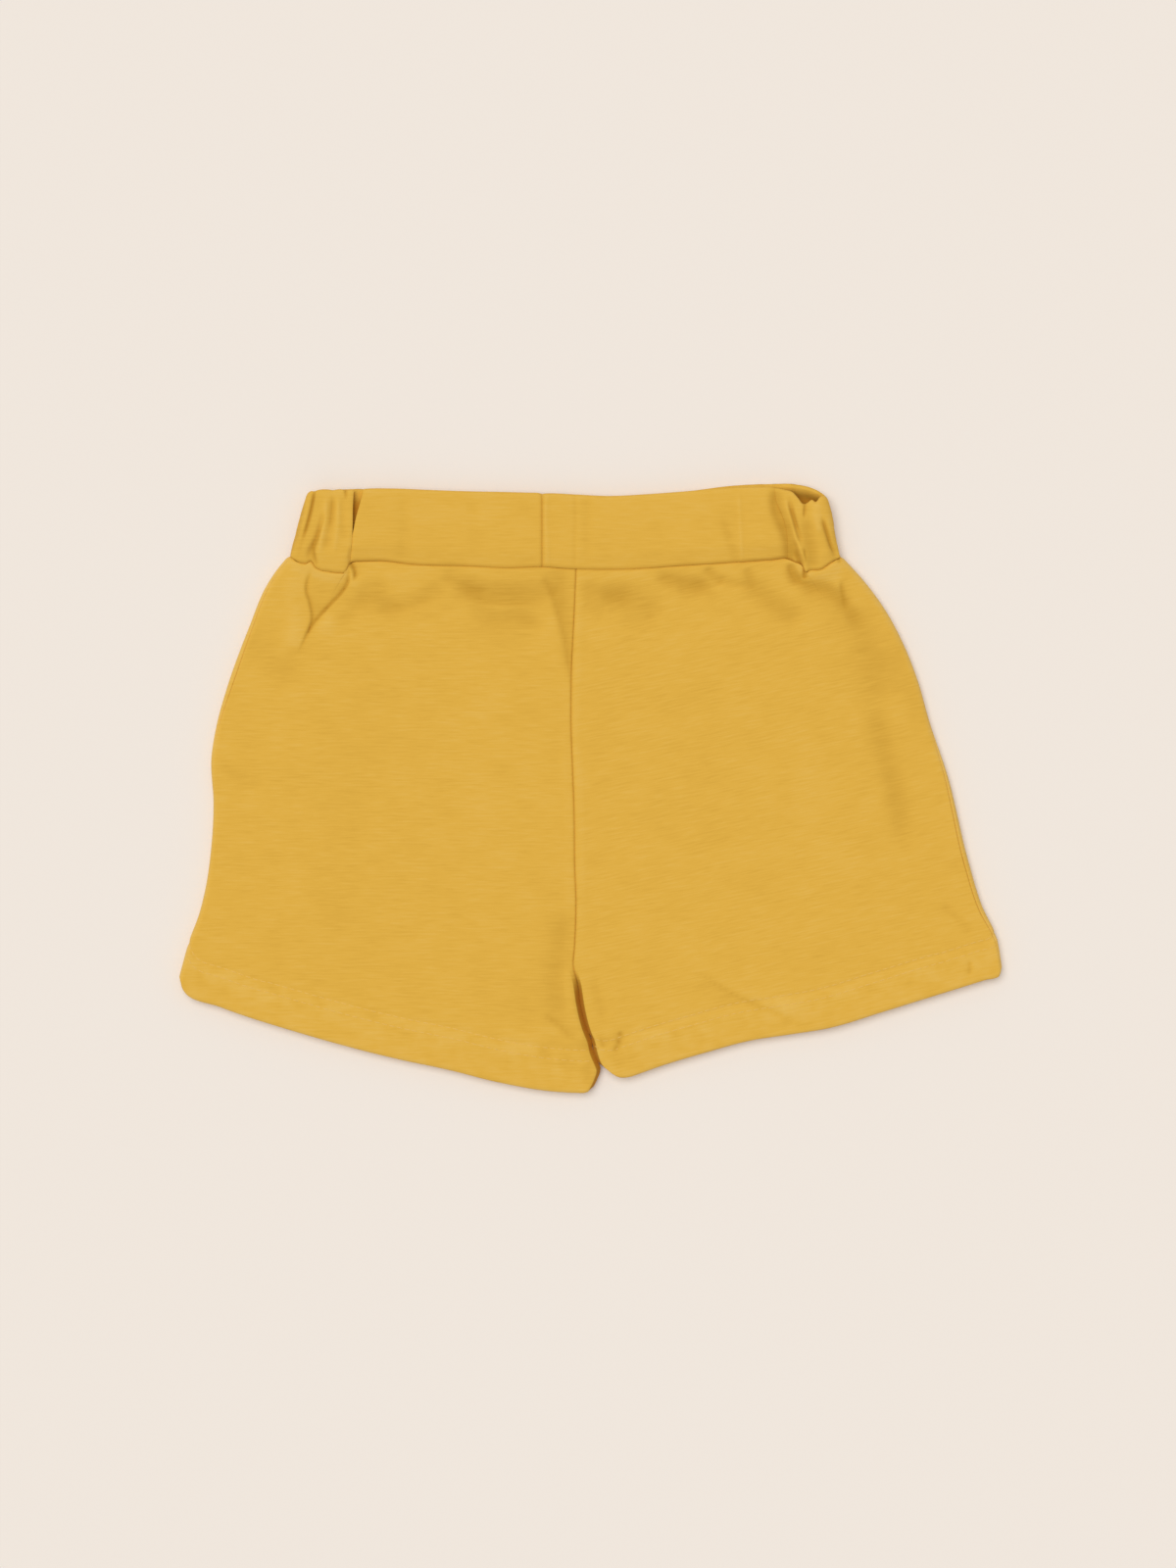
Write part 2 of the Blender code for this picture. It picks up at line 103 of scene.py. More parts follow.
# The waist seam, from the left side to the right: the front's steps down under both elasticated ends
FRONT_WAIST_SEAM = [
    (-119, 91), (-117.6, 90.4), (-114.8, 88.6), (-111.7, 88), (-109.2, 88.6), (-108.2, 86.9), (-106.2, 85.6),
    (-102.6, 84.9), (-98.4, 84.4), (-96.2, 84.7), (-95.4, 85.8), (-94.6, 87.8), (-93.8, 88.6), (-92.6, 88.9),
    (-90, 89), (-81, 89.1), (-71.2, 87.9),
    (-49, 87.2), (-32, 86.4), (-19, 86.8), (-6.1, 86), (14, 85.9), (37, 87.4), (59, 88.7), (70.8, 89.5),
    (77.2, 89.9), (80.3, 88.6), (83, 87.2), (84.3, 84.9), (86, 85.4), (90.7, 85.9), (94.5, 88.4), (99, 90.9),
]
BACK_WAIST_SEAM = [(-119, 91), (-90, 90), (-49, 88.4), (-6.1, 87.6), (37, 88.4), (80, 90), (99, 90.9)]
FRONT_TOP_EDGE = [
    (-115, 114.6), (-112.4, 115.9), (-109.4, 116.6), (-108.4, 116.4), (-107, 116.8), (-102.4, 117),
    (-101.1, 116.8), (-99, 117.1), (-96.6, 116.9), (-95.9, 116.5), (-95, 116.8), (-92, 117), (-88, 117.4),
    (-78, 117.5), (-64, 117), (-50, 116.5), (-36, 116.2), (-24, 115.9), (-20.5, 115.8), (-19, 115.5),
    (-17.5, 115.6), (-6, 115.2), (7, 114.6), (22, 115.3), (36, 116.3), (50, 117.5), (66, 118), (72, 117.8),
    (76, 116.9), (79.5, 115.8), (81.5, 113.6), (83.2, 111.5), (85, 111.8), (86.8, 113), (88.4, 112.2),
    (89.8, 113.8), (92, 114.4), (96, 111.8),
]
BACK_TOP_EDGE = [
    (-115, 114.6), (-109, 116), (-60, 115.8), (-6, 114.4), (16, 115), (40, 117), (55, 118.9), (72, 119.6),
    (80, 119.3), (87.5, 117.6), (92, 115.2), (97, 110),
]

# Height of the front's outer face at its side and over its middle, down from the waist seam
Station = namedtuple("Station", "share side middle")
FRONT_HEIGHTS = {
    "left": [
        Station(0, 6.4, 6.4), Station(0.05, 6.2, 6.1), Station(0.18, 5.6, 6.5), Station(0.45, 5.2, 6.3),
        Station(0.8, 5.3, 6), Station(1, 5.8, 5.8),
    ],
    "right": [
        Station(0, 6.5, 6.4), Station(0.05, 6.2, 6.1), Station(0.18, 5.7, 6.5), Station(0.45, 5.3, 6.4),
        Station(0.8, 5.3, 6.1), Station(1, 5.8, 5.8),
    ],
}
MIDDLE_SHARE = 0.3  # share of the width, from the side, by which the cloth has the height of its middle
# The side seam lies on the outline, and rolls round to the front where it shows: degrees round its turn
SeamRoll = namedtuple("SeamRoll", "share degrees")
SIDE_SEAM_ROLL = {
    "left": [
        SeamRoll(0, 40), SeamRoll(0.2, 56), SeamRoll(0.3, 68), SeamRoll(0.4, 50), SeamRoll(0.53, 5),
        SeamRoll(1, 0),
    ],
    "right": [
        SeamRoll(0, 0), SeamRoll(0.36, 5), SeamRoll(0.6, 66), SeamRoll(0.7, 76), SeamRoll(0.85, 70),
        SeamRoll(1, 30),
    ],
}

# Waistband: the outline and the two front ends of the elasticated band, and the ends of the flat strips
# between them, by share of the way up from the seam to the top edge
BandRow = namedtuple("BandRow", "share left_edge left_end left_strip right_strip right_end right_edge")
BAND_ROWS = [
    BandRow(0, -118.8, -94.3, -94.3, 77.5, 77.5, 99.2),
    BandRow(0.25, -117, -93.6, -93.6, 77.4, 77.4, 97.1),
    BandRow(0.36, -116.3, -93.4, -93.4, 77.1, 77.1, 96.6),
    BandRow(0.44, -115.8, -93.3, -92.9, 76.8, 76.8, 96.3),
    BandRow(0.55, -115.1, -93.2, -92.3, 75.9, 75.9, 96),
    BandRow(0.65, -114.5, -93.2, -91.6, 74.8, 74.8, 95.8),
    BandRow(0.8, -113.5, -93.1, -90.4, 73, 73, 95.2),
    BandRow(1, -111.6, -92.8, -88.8, 72.3, 72.3, 93.4),
]
BAND_JOIN = -19  # the seam between the two front strips
BandHeight = namedtuple("BandHeight", "x height")
BAND_HEIGHTS = [
    BandHeight(-95, 8.6), BandHeight(-80, 8), BandHeight(-19, 7.5), BandHeight(20, 7.5), BandHeight(58, 8.2),
    BandHeight(73, 9.05), BandHeight(79, 9.05),
]
LOOP_HEIGHT = {"left": 8.8, "right": 9.1}
LOOP_TURN = 5  # plan width of the elastic's turn at each side

# -------- folds and creases

# Folds by piece: each a soft trough along a path, deepest in the middle of its length; a negative depth
# makes a ridge
Fold = namedtuple("Fold", "path half_width depth")
# Creases by piece: each a sharp line where the cloth folds; to the right of the path's way it lies higher
# than to the left by the step, which dies away over the lap
Crease = namedtuple("Crease", "path half_width depth step lap", defaults=(0, 6))

FOLDS, CREASES = {}, {}
FOLDS["left"] = [
    # hollows under the waistband, where the knit bellies out below it
    Fold([(-99.5, 64), (-96, 71), (-88.4, 75.8), (-78.7, 79.6)], 5, 0.6),
    Fold([(-98, 80), (-90, 73), (-80, 70.6), (-72, 70)], 4, 0.3),
    Fold([(-84, 70.6), (-74, 72), (-66, 74.4), (-57.8, 80.1)], 3.2, 0.6),
    Fold([(-58, 84), (-53.5, 81), (-47, 77.8), (-41, 76)], 2.8, 0.65),
    Fold([(-53, 80), (-44.9, 77), (-34, 76), (-23, 76), (-13, 76)], 4.4, 0.9),
    Fold([(-47, 71), (-37.2, 66.8), (-29.6, 66.4), (-20, 67)], 4, 0.5),
    Fold([(-44, 66), (-34, 60), (-22, 57)], 5, 0.22),
    Fold([(-34, 70), (-24, 66), (-18, 62)], 3, 0.25),
    Fold([(-92, 82.6), (-76, 83.6), (-66, 86)], 2.4, -0.2),
    # the hollow left of the rise seam, running down from the join in the waistband
    Fold([(-13, 89), (-11.6, 78), (-10, 66), (-9, 52), (-8.4, 44)], 3.4, 0.5),
    Fold([(-19, 82), (-16, 78.5), (-12.5, 77.5)], 2, 0.45),
    # the cloth's raised edges beside the rise seam
    Fold([(-9.4, 30), (-10.2, 22), (-8.8, -8), (-8.5, -46), (-9.2, -68)], 1.4, -0.12),
    # the small inverted tuck below the left elastic: the cloth puffs out on both sides of it
    Fold([(-116.5, 86), (-117.5, 76), (-116, 66), (-119, 52)], 3.4, -0.3),
    Fold([(-91, 84), (-93.4, 76), (-100, 68), (-107, 60)], 3, -0.4),
    Fold([(-103, 86), (-104, 79), (-107.5, 71), (-111, 63)], 4.2, 0.12),
    Fold([(-112, 58), (-116, 49), (-120, 40)], 4, 0.18),
    # the cloth that stands up to the elastic's lower edges
    Fold([(-118, 90), (-112, 88), (-107, 86), (-101, 84), (-94, 84)], 3.6, -0.9),
    # long soft falls of the legs
    Fold([(-134, 60), (-127, 52), (-116, 46)], 6, 0.25),
    Fold([(-146, 10), (-138, 4), (-128, 0)], 2.4, 0.22),
    Fold([(-78, 40), (-92, 8), (-98, -30), (-94, -70)], 10, 0.12),
    Fold([(-40, 46), (-44, 6), (-36, -36)], 9, -0.1),
    # the pulls round the crotch
    Fold([(-9.6, -48), (-12, -62), (-14, -76), (-12, -92)], 5, 0.6),
    Fold([(-26, -74), (-27, -84), (-24, -96)], 6, 0.2),
    Fold([(-9.4, -70), (-9.3, -80), (-8, -90)], 1.2, -0.25),
    Fold([(-36, -97), (-28, -99), (-20, -102)], 4, -0.2),
    Fold([(-20, -103), (-11, -107), (-3, -110)], 6, 0.3),
    Fold([(-3, -98), (-1, -104), (-0.4, -111), (-1.6, -118)], 2.6, 0.5),
    # the creases across the hems
    Fold([(-130, -66), (-106, -76), (-80, -86)], 4, 0.12),
]
FOLDS["right"] = [
    # hollows under the waistband
    Fold([(-4, 79), (3.1, 76.6), (10, 76.2), (16, 75)], 4, 0.6),
    Fold([(-3, 72), (1.5, 70), (6, 69)], 3, 0.4),
    Fold([(4, 73), (12.5, 74.6), (21, 72), (27, 67)], 4.8, 0.65),
    Fold([(12, 66), (19, 65), (26, 66)], 4, 0.2),
    Fold([(25.7, 83.4), (31.5, 81.7), (38, 80.4), (47, 79.6)], 2.8, 1.0),
    Fold([(34, 77), (42, 78), (50, 79)], 3.4, 0.5),
    Fold([(45.2, 86.4), (48.2, 83.4), (51.9, 80.4)], 1.9, 0.8),
    Fold([(50, 82), (56, 80.6), (62, 79.6)], 2, 0.6),
    Fold([(60.9, 86), (62.6, 82.4), (63, 78)], 2, 0.7),
    Fold([(60, 79.5), (66.4, 76.8), (73, 72), (82.7, 65.3)], 4.4, 0.75),
    Fold([(2, 82.4), (14, 82.8), (24, 85)], 2.4, -0.2),
    # the cloth's raised edges beside the rise seam
    Fold([(-3.6, 84), (-5, 46), (-5.4, 22), (-3.8, -8), (-3.5, -46), (-4.2, -68)], 1.3, -0.2),
    # the cloth that stands up to the elastic's lower edges
    Fold([(77, 90), (81, 87), (85, 84.5), (91, 85), (98, 90)], 3.6, -0.9),
    # the folds that run from the right elastic down the side
    Fold([(77.2, 89), (79.9, 82.9), (84.9, 79.6), (91.4, 78.2), (96.8, 75.1), (102.4, 68.5),
        (106.7, 62.6)], 2.7, 1.0),
    Fold([(78.3, 88), (79.4, 84.6), (81.3, 80)], 2, 0.7),
    Fold([(84.6, 88), (84.3, 85), (84.1, 82)], 1.1, 0.7),
    Fold([(89, 85.5), (94, 82), (99, 79.5)], 2.4, -0.35),
    Fold([(103, 72), (108.9, 57), (113, 44), (116, 33)], 7.5, 0.55),
    Fold([(84, 80), (92, 74.5), (100, 68)], 5, 0.35),
    Fold([(111.8, 34), (113.2, 24), (115.6, 14), (119, 2), (121.8, -10), (123.4, -22)], 4.4, 0.6),
    Fold([(119, 58), (126, 40), (131, 24)], 5, 0.25),
    # long soft falls of the legs
    Fold([(34, 50), (44, 10), (48, -30)], 9, 0.1),
    Fold([(78, 20), (88, -14), (104, -48)], 8, -0.12),
    # the pulls round the crotch
    Fold([(1, -74), (3.4, -84), (5.6, -93)], 1.9, 0.4),
    Fold([(16, -95), (24, -99), (32, -100)], 4, -0.2),
    Fold([(6, -97), (10, -103), (14, -110)], 4, 0.3),
    # the creases across the hems
    Fold([(54.9, -79.5), (71, -83.4), (84, -88)], 3, -0.25),
    Fold([(138, -46), (144, -51), (150, -57)], 1.6, 0.35),
]
FOLDS["back_left"] = [
    # the back's own folds, on the underside
    Fold([(-104, 84), (-96, 62), (-90, 36)], 5, 0.9),
    Fold([(-48, 86), (-44, 66), (-36, 44)], 5, 0.8),
    Fold([(-132, -22), (-112, -40), (-84, -50)], 5, 0.7),
    Fold([(-70, 20), (-60, -10), (-40, -30)], 7, 0.45),
]
FOLDS["back_right"] = [
    # the back's own folds
    Fold([(78, 84), (74, 64), (66, 40)], 5, 0.9),
    Fold([(30, 86), (28, 62), (22, 42)], 5, 0.8),
    Fold([(130, -12), (112, -34), (88, -46)], 5, 0.7),
    Fold([(40, 6), (60, -20), (70, -50)], 7, 0.45),
]
FOLDS["band"] = [
    # the elastic's left front end
    Fold([(-108.4, 117), (-109.6, 110), (-111.4, 102), (-113.6, 96), (-115, 90)], 1.1, 0.45),
    Fold([(-104.4, 108), (-105.8, 103), (-107.4, 97.8), (-109.6, 93.4), (-110.6, 90)], 1.1, 0.6),
    Fold([(-107.6, 97.6), (-108.5, 94), (-108.3, 90.5), (-107.2, 87)], 1, 0.5),
    Fold([(-100.8, 115), (-101.4, 106.6), (-102.6, 99), (-103.6, 93)], 1.2, 0.5),
    Fold([(-96.9, 114), (-96.7, 105), (-96.3, 97)], 1.2, 0.25),
    Fold([(-98.9, 114), (-99, 104), (-100.4, 92)], 1.1, -0.3),
    Fold([(-103.6, 114), (-104, 106), (-105.4, 99), (-106, 92)], 1, -0.35),
    Fold([(-112.6, 112), (-113.8, 104), (-116, 95)], 1, 0.3),
    # the elastic's right front end
    Fold([(72.4, 118), (73.3, 108.4), (76.2, 101.8), (78, 95.3), (78.2, 86)], 2.4, 1.5),
    Fold([(76.4, 113.6), (77.6, 109.6), (79.1, 104.6), (80.7, 97.2), (83, 89)], 1.1, -0.6),
    Fold([(77.8, 113), (79.2, 107), (80.8, 101.6), (82.8, 96)], 1.1, 1.0),
    Fold([(79.4, 97), (81.2, 92), (82.6, 86)], 1.2, 1.0),
    Fold([(84.1, 105.6), (85.6, 98), (86.8, 91), (86.6, 85)], 2.6, 1.0),
    Fold([(88.2, 111.6), (88.8, 106), (90, 100)], 1.9, -0.6),
    Fold([(91, 105.6), (93.2, 99.8), (95.4, 94), (98, 90)], 1.5, 0.45),
    Fold([(95.2, 103), (96.2, 98), (98, 94)], 1.1, -0.35),
]
FOLDS["strip_right"] = [
    Fold([(-17.1, 118), (-17.6, 104), (-17.2, 96), (-17, 85)], 0.9, -0.3),
    Fold([(-5.9, 118), (-5.9, 104), (-6.1, 94), (-6.2, 85)], 0.7, 0.3),
    Fold([(-1, 118), (-1.4, 104), (-1.5, 88)], 1.8, 0.18),
    Fold([(58, 116), (58.6, 104), (59.4, 88)], 0.7, -0.35),
    Fold([(51.5, 106), (54.4, 98), (57.8, 87)], 1.6, 0.4),
    Fold([(72.4, 118), (73.3, 108.4), (76.2, 101.8), (78, 95.3), (78.2, 86)], 2.3, 1.9),
    Fold([(0, 108), (24, 108), (50, 110)], 5, -0.14),
]
FOLDS["strip_left"] = [
    Fold([(-74, 116), (-73, 104), (-74, 90)], 2.6, 0.2),
    Fold([(-47, 114), (-45, 102), (-46, 90)], 3, 0.16),
    Fold([(-84, 112), (-60, 108), (-34, 109)], 5, -0.14),
]
CREASES["left"] = [
    # the tuck below the left elastic: two lines, where the cloth outside lies over the flat between
    Crease([(-109.2, 87), (-110, 84.4), (-111.1, 81.6), (-111.5, 77.4), (-110.1, 72.6), (-109.3, 66),
        (-111.8, 59.3), (-115.2, 52)], 0.4, 0.75, 0.3, 4),
    Crease([(-94.4, 88), (-94.6, 85.9), (-95.5, 80.1), (-97.8, 76.6), (-101.6, 72.6), (-105.5, 68.5),
        (-108.8, 64.7), (-111.8, 59)], 0.4, 0.95, -0.3, 4),
    Crease([(-94.9, 89.4), (-93.4, 87), (-92.5, 84.6), (-92.7, 81)], 0.45, 1.2, 0.3, 2),
    # the edge of the hollow beside the rise seam
    Crease([(-19.8, 86), (-16.1, 77.8), (-12.1, 65.8), (-8.9, 50.6), (-7.8, 37.5)], 0.9, 0.3, 0.35, 4),
    # under the waistband, and beside the slot between the legs
    Crease([(-46, 72.8), (-34, 72.2), (-21, 72)], 0.8, 0.15, 0.3, 3),
    Crease([(-19, -88.6), (-14, -92), (-9, -96.6), (-4.6, -99.8)], 0.9, 0.5, 0.15, 3),
]
CREASES["right"] = [
    # below the right elastic
    Crease([(98.4, 81.5), (99, 76), (100.6, 69.5)], 0.8, 0.6, 0.2, 3),
    Crease([(84.3, 87), (84.1, 84.6), (84.1, 81.6)], 0.45, 0.95),
    Crease([(98.2, 92), (97.8, 90), (98, 87.6)], 0.45, 0.6),
    Crease([(77, 89), (79.6, 83.2), (82.6, 80.8), (88, 79)], 0.9, 0.35, 0.35, 4),
    # across the hem, and beside the slot
    Crease([(39, -70), (48, -76), (58, -82), (71, -87.4), (86.5, -95.8)], 0.8, 0.35, -0.18, 4),
    Crease([(11.6, -95), (11.2, -99), (9.2, -104.5)], 0.5, 1.1, 0.2, 2.5),
    Crease([(3.6, -96), (4.7, -99.5), (5.4, -102.6)], 0.5, 0.6),
    Crease([(148.9, -67.6), (149, -70.6), (148.7, -74)], 0.6, 0.5),
]
CREASES["band"] = [
    # the elastic's two front ends
    Crease([(80, 93.6), (81, 91), (82.8, 87)], 0.45, 0.7),
    Crease([(84, 94), (84.2, 91.6), (84.8, 88)], 0.45, 0.6),
    Crease([(-108.2, 118), (-109.4, 110), (-111.4, 102.5), (-113.4, 96.5)], 0.35, 1.0, 0.25, 3),
    Crease([(-105.4, 104), (-107.2, 98), (-108.7, 93.6), (-108.2, 90.6), (-107.2, 86)], 0.4, 0.6, -0.2, 3),
    Crease([(-101, 114), (-101.3, 108), (-102.2, 101)], 0.4, 0.35),
    Crease([(-96.2, 118), (-95.9, 116), (-95.7, 113)], 0.4, 0.6),
    Crease([(84.2, 112.6), (84, 109.6), (83.6, 105.6)], 0.45, 0.8, 0.2, 2),
    Crease([(78.4, 110.6), (80.1, 105), (81.6, 100)], 0.45, 0.6, -0.2, 2),
    Crease([(90.8, 106.2), (92.4, 102), (93.7, 98.6), (95.6, 94), (98, 91)], 0.5, 0.95, -0.5, 3),
]

# -------- how the cloth is worked, in millimetres

# Legs
LEG_LENGTH = 190  # along the cloth, from the waist seam to the hem
CROTCH_SHARE = 0.76  # share of the leg's rows at which the rise seam ends
CROTCH_BLEND = 12  # length over which the rise seam opens into the two turned edges
INSEAM_POWER = 1.15  # towards 1, the inseam's turn is a straight slope from a crisp edge
BACK_COARSER = 2.2  # how much wider apart the rows and columns of a back panel are
WAIST_TURN, WAIST_DIP = 1.3, 0.6  # how far from the waist seam a leg dips to it, and how deep
RISE_REACH, RISE_DIP = 1, 0.55  # the same for the rise seam
SIDE_ROLL, SIDE_DIP = 0.9, 0.5  # the same for the side seam, along the turned edge
FOLD_TURN, FOLD_INSET = 1.7, 0.46  # how far from a folded edge it rolls in, and by what share of its thickness
STITCH_DIP, STITCH_HALF = 0.28, 1.1  # the groove that the hem's stitching pulls: its depth and half width
STITCH_ROWS_APART = 4
STITCH_SHARE, THREAD_RADIUS = 0.8, 0.22  # share of the pitch that a stitch covers, and its thread
PUCKER_DEPTH, PUCKER_WIDTH, PUCKER_LENGTH = 0.7, 6.1, 11  # the elastic's gathers, carried down the back
UNDULATION_SEED = {"left": 3, "right": 8, "back_left": 5, "back_right": 13}

# Waistband
BAND_TALL, BAND_STEP = 29, 0.9  # its height along the cloth, and between its rows
BAND_SLOPE, BAND_TURN = 7, 1.5  # how far up a band its slope to the seam begins, and the groove at its foot
GROOVE_SHARE = 0.4  # of that way down, the part that is in the groove
# Height of the front's waist seam: it stands up under the elastic's two ends
SEAM_HEIGHTS = [
    (-119, 6), (-113, 6.6), (-105, 6.9), (-97, 6.7), (-90, 6), (-84, 5.9), (-70, 5.9), (50, 5.9), (66, 5.9),
    (72, 6), (78, 6.4), (86, 6.9), (94, 6.6), (99, 6),
]
END_REACH = 1.4  # how far from where a strip meets the elastic both dip, and how deep
END_DIP = {"left": 0.35, "right": 0.1}
JOIN_REACH, JOIN_DIP = 1.4, 0.6  # how far from the front join the strips dip to it, and how deep
STRIP_RUN, STRIP_STEP = 90, 0.75  # a strip's length for spacing its columns, and the space between them
GATHERS, GATHER_DEPTH = 45, 1.25  # the elastic's gathers from end to end
FINE_GATHERS, FINE_DEPTH = 2.3 * GATHERS, 0.3  # and the finer ones between them
# Where the back band stands up behind the front. The rim, behind the right elastic, begins at x and grows
# over the width. The wedge, beside the left elastic, has its middle at x and the width to each side. Both
# begin the foot's way up the band, and grow over the rise.
Lift = namedtuple("Lift", "height x width foot rise")
RIM, WEDGE = Lift(3.6, 69, 10, 23, 5), Lift(2.6, -91, 6, 6, 8)

# Relief
PATH_SAMPLES = 81
FOLD_REACH = 3.2  # half widths from its path at which a fold has died away
CREASE_ROUND = 0.25  # radius at the bottom of a crease
DEEPEST = 2.2  # folds that cross never sink deeper than this together

# Wear and painted light, lighter or darker: 1 wholly worn or painted highlight, 0 plain, -1 painted crease
# shade, -2 deepest painted shade
FOLD_SHADE, LINE_SHADE = 0.55, 0.4  # painted shade for each millimetre that the relief sinks, and for its creases once more
SEAM_SHADE = 0.42  # painted shade down in the waist seam
RISE_SHADE, SLOT_SHADE = 0.25, 1.7  # painted shade down in the rise seam, and in the slot between the legs
PAINTED_EDGE_SHEEN = 0.8  # painted highlight along the side's turned edge, as of the knit's sheen at a grazing view
PAINTED_HEM_EDGE_SHEEN = 0.6 * PAINTED_EDGE_SHEEN  # painted highlight along the hem's folded edge
HEM_WORN, HEM_UNEVEN = 0.13, 1.6  # the turned-up hem, and how uneven it is
HEM_PATCHES = (3, 16)  # shortest and longest uneven patch of the hem
TOP_WORN = 0.1  # the waistband's folded top edge
PAINTED_INSIDE_SHADE = 1.6  # painted shade on the inner face, inside the shorts where the shade falls
INSIDE_SHARE_OF_OUTER = 0.4  # share of the right side's wear and painted light that is repeated on the inner face
INSIDE_SHADE_FADE = 5.5  # how far in from a folded edge the painted inside shade fades in

# Knit and cut
COURSE_DEGREES = {"left": 0, "right": 12}  # how far each leg's knit is turned from level

# Stage, in metres and degrees
CAMERA_HEIGHT = 1.5
CAMERA_OVER = (-0.00096, 0.00154)
CLOTH_HEIGHT = 0.005  # the level at which the view has its measured size
FRAME_HEIGHT = 0.616  # of the whole view at that level: 0.385 mm for each of the photo's 1600 pixels
SENSOR = 36  # millimetres
SUN_STRENGTH, SUN_SPREAD, SUN_TILT = 1.95, 50, (-10, -11, 0)  # wide, and tilted to the upper left
FILL_STRENGTH = 0.4
PAPER_REACH, PAPER_LEVEL = 1.5, -0.0002


# -------- curves and tables


def shares_of(points):
    """Share of the length of a line of points at which each point stands."""
    lengths = np.linalg.norm(np.diff(np.asarray(points, float), axis=0), axis=1)
    return np.concatenate([[0], np.cumsum(lengths)]) / lengths.sum()


def smooth_table(knots, values, at):
    """Cubic interpolation of rows of values given at rising knots: between two knots the four cubic Hermite
    terms, with each knot's slope that of the chord between its neighbours."""
    knots, values, at = (np.asarray(a, float) for a in (knots, values, at))
    slopes = np.gradient(values, knots, axis=0)
    i = np.clip(np.searchsorted(knots, at, side="right") - 1, 0, len(knots) - 2)
    step = knots[i + 1] - knots[i]
    f = np.clip((at - knots[i]) / step, 0, 1)
    if values.ndim > 1:
        step, f = step[..., None], f[..., None]
    start = (1 + 2 * f) * (1 - f) ** 2 * values[i] + f * (1 - f) ** 2 * step * slopes[i]
    end = f**2 * (3 - 2 * f) * values[i + 1] + f**2 * (f - 1) * step * slopes[i + 1]
    return start + end


def smooth_curve(points, share):
    """Points at the given shares of the length of a smooth curve through the points."""
    return smooth_table(shares_of(points), points, share)


def smooth_height(line, x):
    """The y of a seam line at x, along a smooth curve between its points."""
    line = np.array(line, float)
    return smooth_table(line[:, 0], line[:, 1], np.clip(x, line[0, 0], line[-1, 0]))


def smooth_from_table(rows, name, share):
    """A named column of a table, by share, along a smooth curve between the rows."""
    return smooth_table([row.share for row in rows], [getattr(row, name) for row in rows], share)


def ease(x):
    """0 below 0, 1 above 1, and the smooth step 3x^2 - 2x^3 between."""
    x = np.clip(x, 0, 1)
    return x * x * (3 - 2 * x)


def roll_in(distance, reach):
    """1 at an edge and 0 from reach onwards, along a quarter circle: 1 - sqrt(1 - (1 - distance /
    reach)^2)."""
    away = 1 - np.clip(np.asarray(distance, float) / reach, 0, 1)
    return 1 - np.sqrt(1 - away**2)


def dip_in(distance, reach, power=2):
    """1 at a seam and 0 from reach onwards, in a groove with sloping sides: (1 - distance / reach)^power."""
    return (1 - np.clip(np.asarray(distance, float) / reach, 0, 1)) ** power


def stops(start, *stretches):
    """Rising positions from start, through stretches given as (end, step)."""
    found = [np.array([float(start)])]
    for end, step in stretches:
        last = found[-1][-1]
        found.append(np.linspace(last, end, max(1, round((end - last) / step)) + 1)[1:])
    return np.concatenate(found)


def quarter_stops(reach, count):
    """Positions from 0 to reach, crowded near 0 as even steps round a quarter circle are."""
    return reach * (1 - np.cos(np.linspace(0, np.pi / 2, count)))


def along_path(path, x, y):
    """For each point, its distance from a smooth path in plan, positive to the left of the path's way, and
    the share of the path's length beside it. The distance is measured square to the path at its nearest
    sample."""
    share = np.linspace(0, 1, PATH_SAMPLES)
    line = smooth_curve(path, share)
    way = np.gradient(line, axis=0)
    way /= np.linalg.norm(way, axis=1)[:, None]
    nearest = np.hypot(x[:, None] - line[:, 0], y[:, None] - line[:, 1]).argmin(1)
    off = np.stack([x, y], 1) - line[nearest]
    ahead = (off * way[nearest]).sum(1)
    aside = way[nearest, 0] * off[:, 1] - way[nearest, 1] * off[:, 0]
    length = np.linalg.norm(np.diff(line, axis=0), axis=1).sum()
    return aside, share[nearest] + ahead / length


def within(path, margin, x, y):
    """Which points lie in the path's box, widened by a margin."""
    low, high = np.min(path, 0) - margin, np.max(path, 0) + margin
    return (x > low[0]) & (x < high[0]) & (y > low[1]) & (y < high[1])


def relief(piece, x, y):
    """How deep the folds and creases of one piece sink at each point, and the painted shade that darkens them.
    A fold is depth * exp(-(d / half_width)^2) across its path. A crease is depth * exp(-|d| / half_width),
    rounded at its bottom, with a step tanh(d / half_width) that dies away as exp(-|d| / lap). Both fade to the
    path's ends. The painted shade grows with the depth, and with a crease's own depth once more."""
    depth, lines = np.zeros_like(x), np.zeros_like(x)
    for fold in FOLDS[piece]:
        near = within(fold.path, FOLD_REACH * fold.half_width, x, y)
        if near.any():
            aside, share = along_path(fold.path, x[near], y[near])
            fade = ease(4 * share + 0.25) * ease(4 * (1 - share) + 0.25)
            depth[near] += fold.depth * fade * np.exp(-((aside / fold.half_width) ** 2))
    for crease in CREASES.get(piece, ()):
        near = within(crease.path, 3 * crease.lap + 4 * crease.half_width, x, y)
        if near.any():
            aside, share = along_path(crease.path, x[near], y[near])
            fade = ease(4 * share + 0.1) * ease(3 * (1 - share) + 0.1)
            away = np.hypot(aside, CREASE_ROUND) - CREASE_ROUND
            line = crease.depth * np.exp(-away / crease.half_width)
            step = crease.step * np.tanh(aside / crease.half_width) * np.exp(-away / crease.lap)
            depth[near] += fade * (line + step)
            lines[near] += fade * line
    depth = np.where(depth > 0, DEEPEST * np.tanh(depth / DEEPEST), depth)
    return depth, FOLD_SHADE * np.clip(depth, -0.4, 1.3) + LINE_SHADE * np.clip(lines, 0, 1.2)


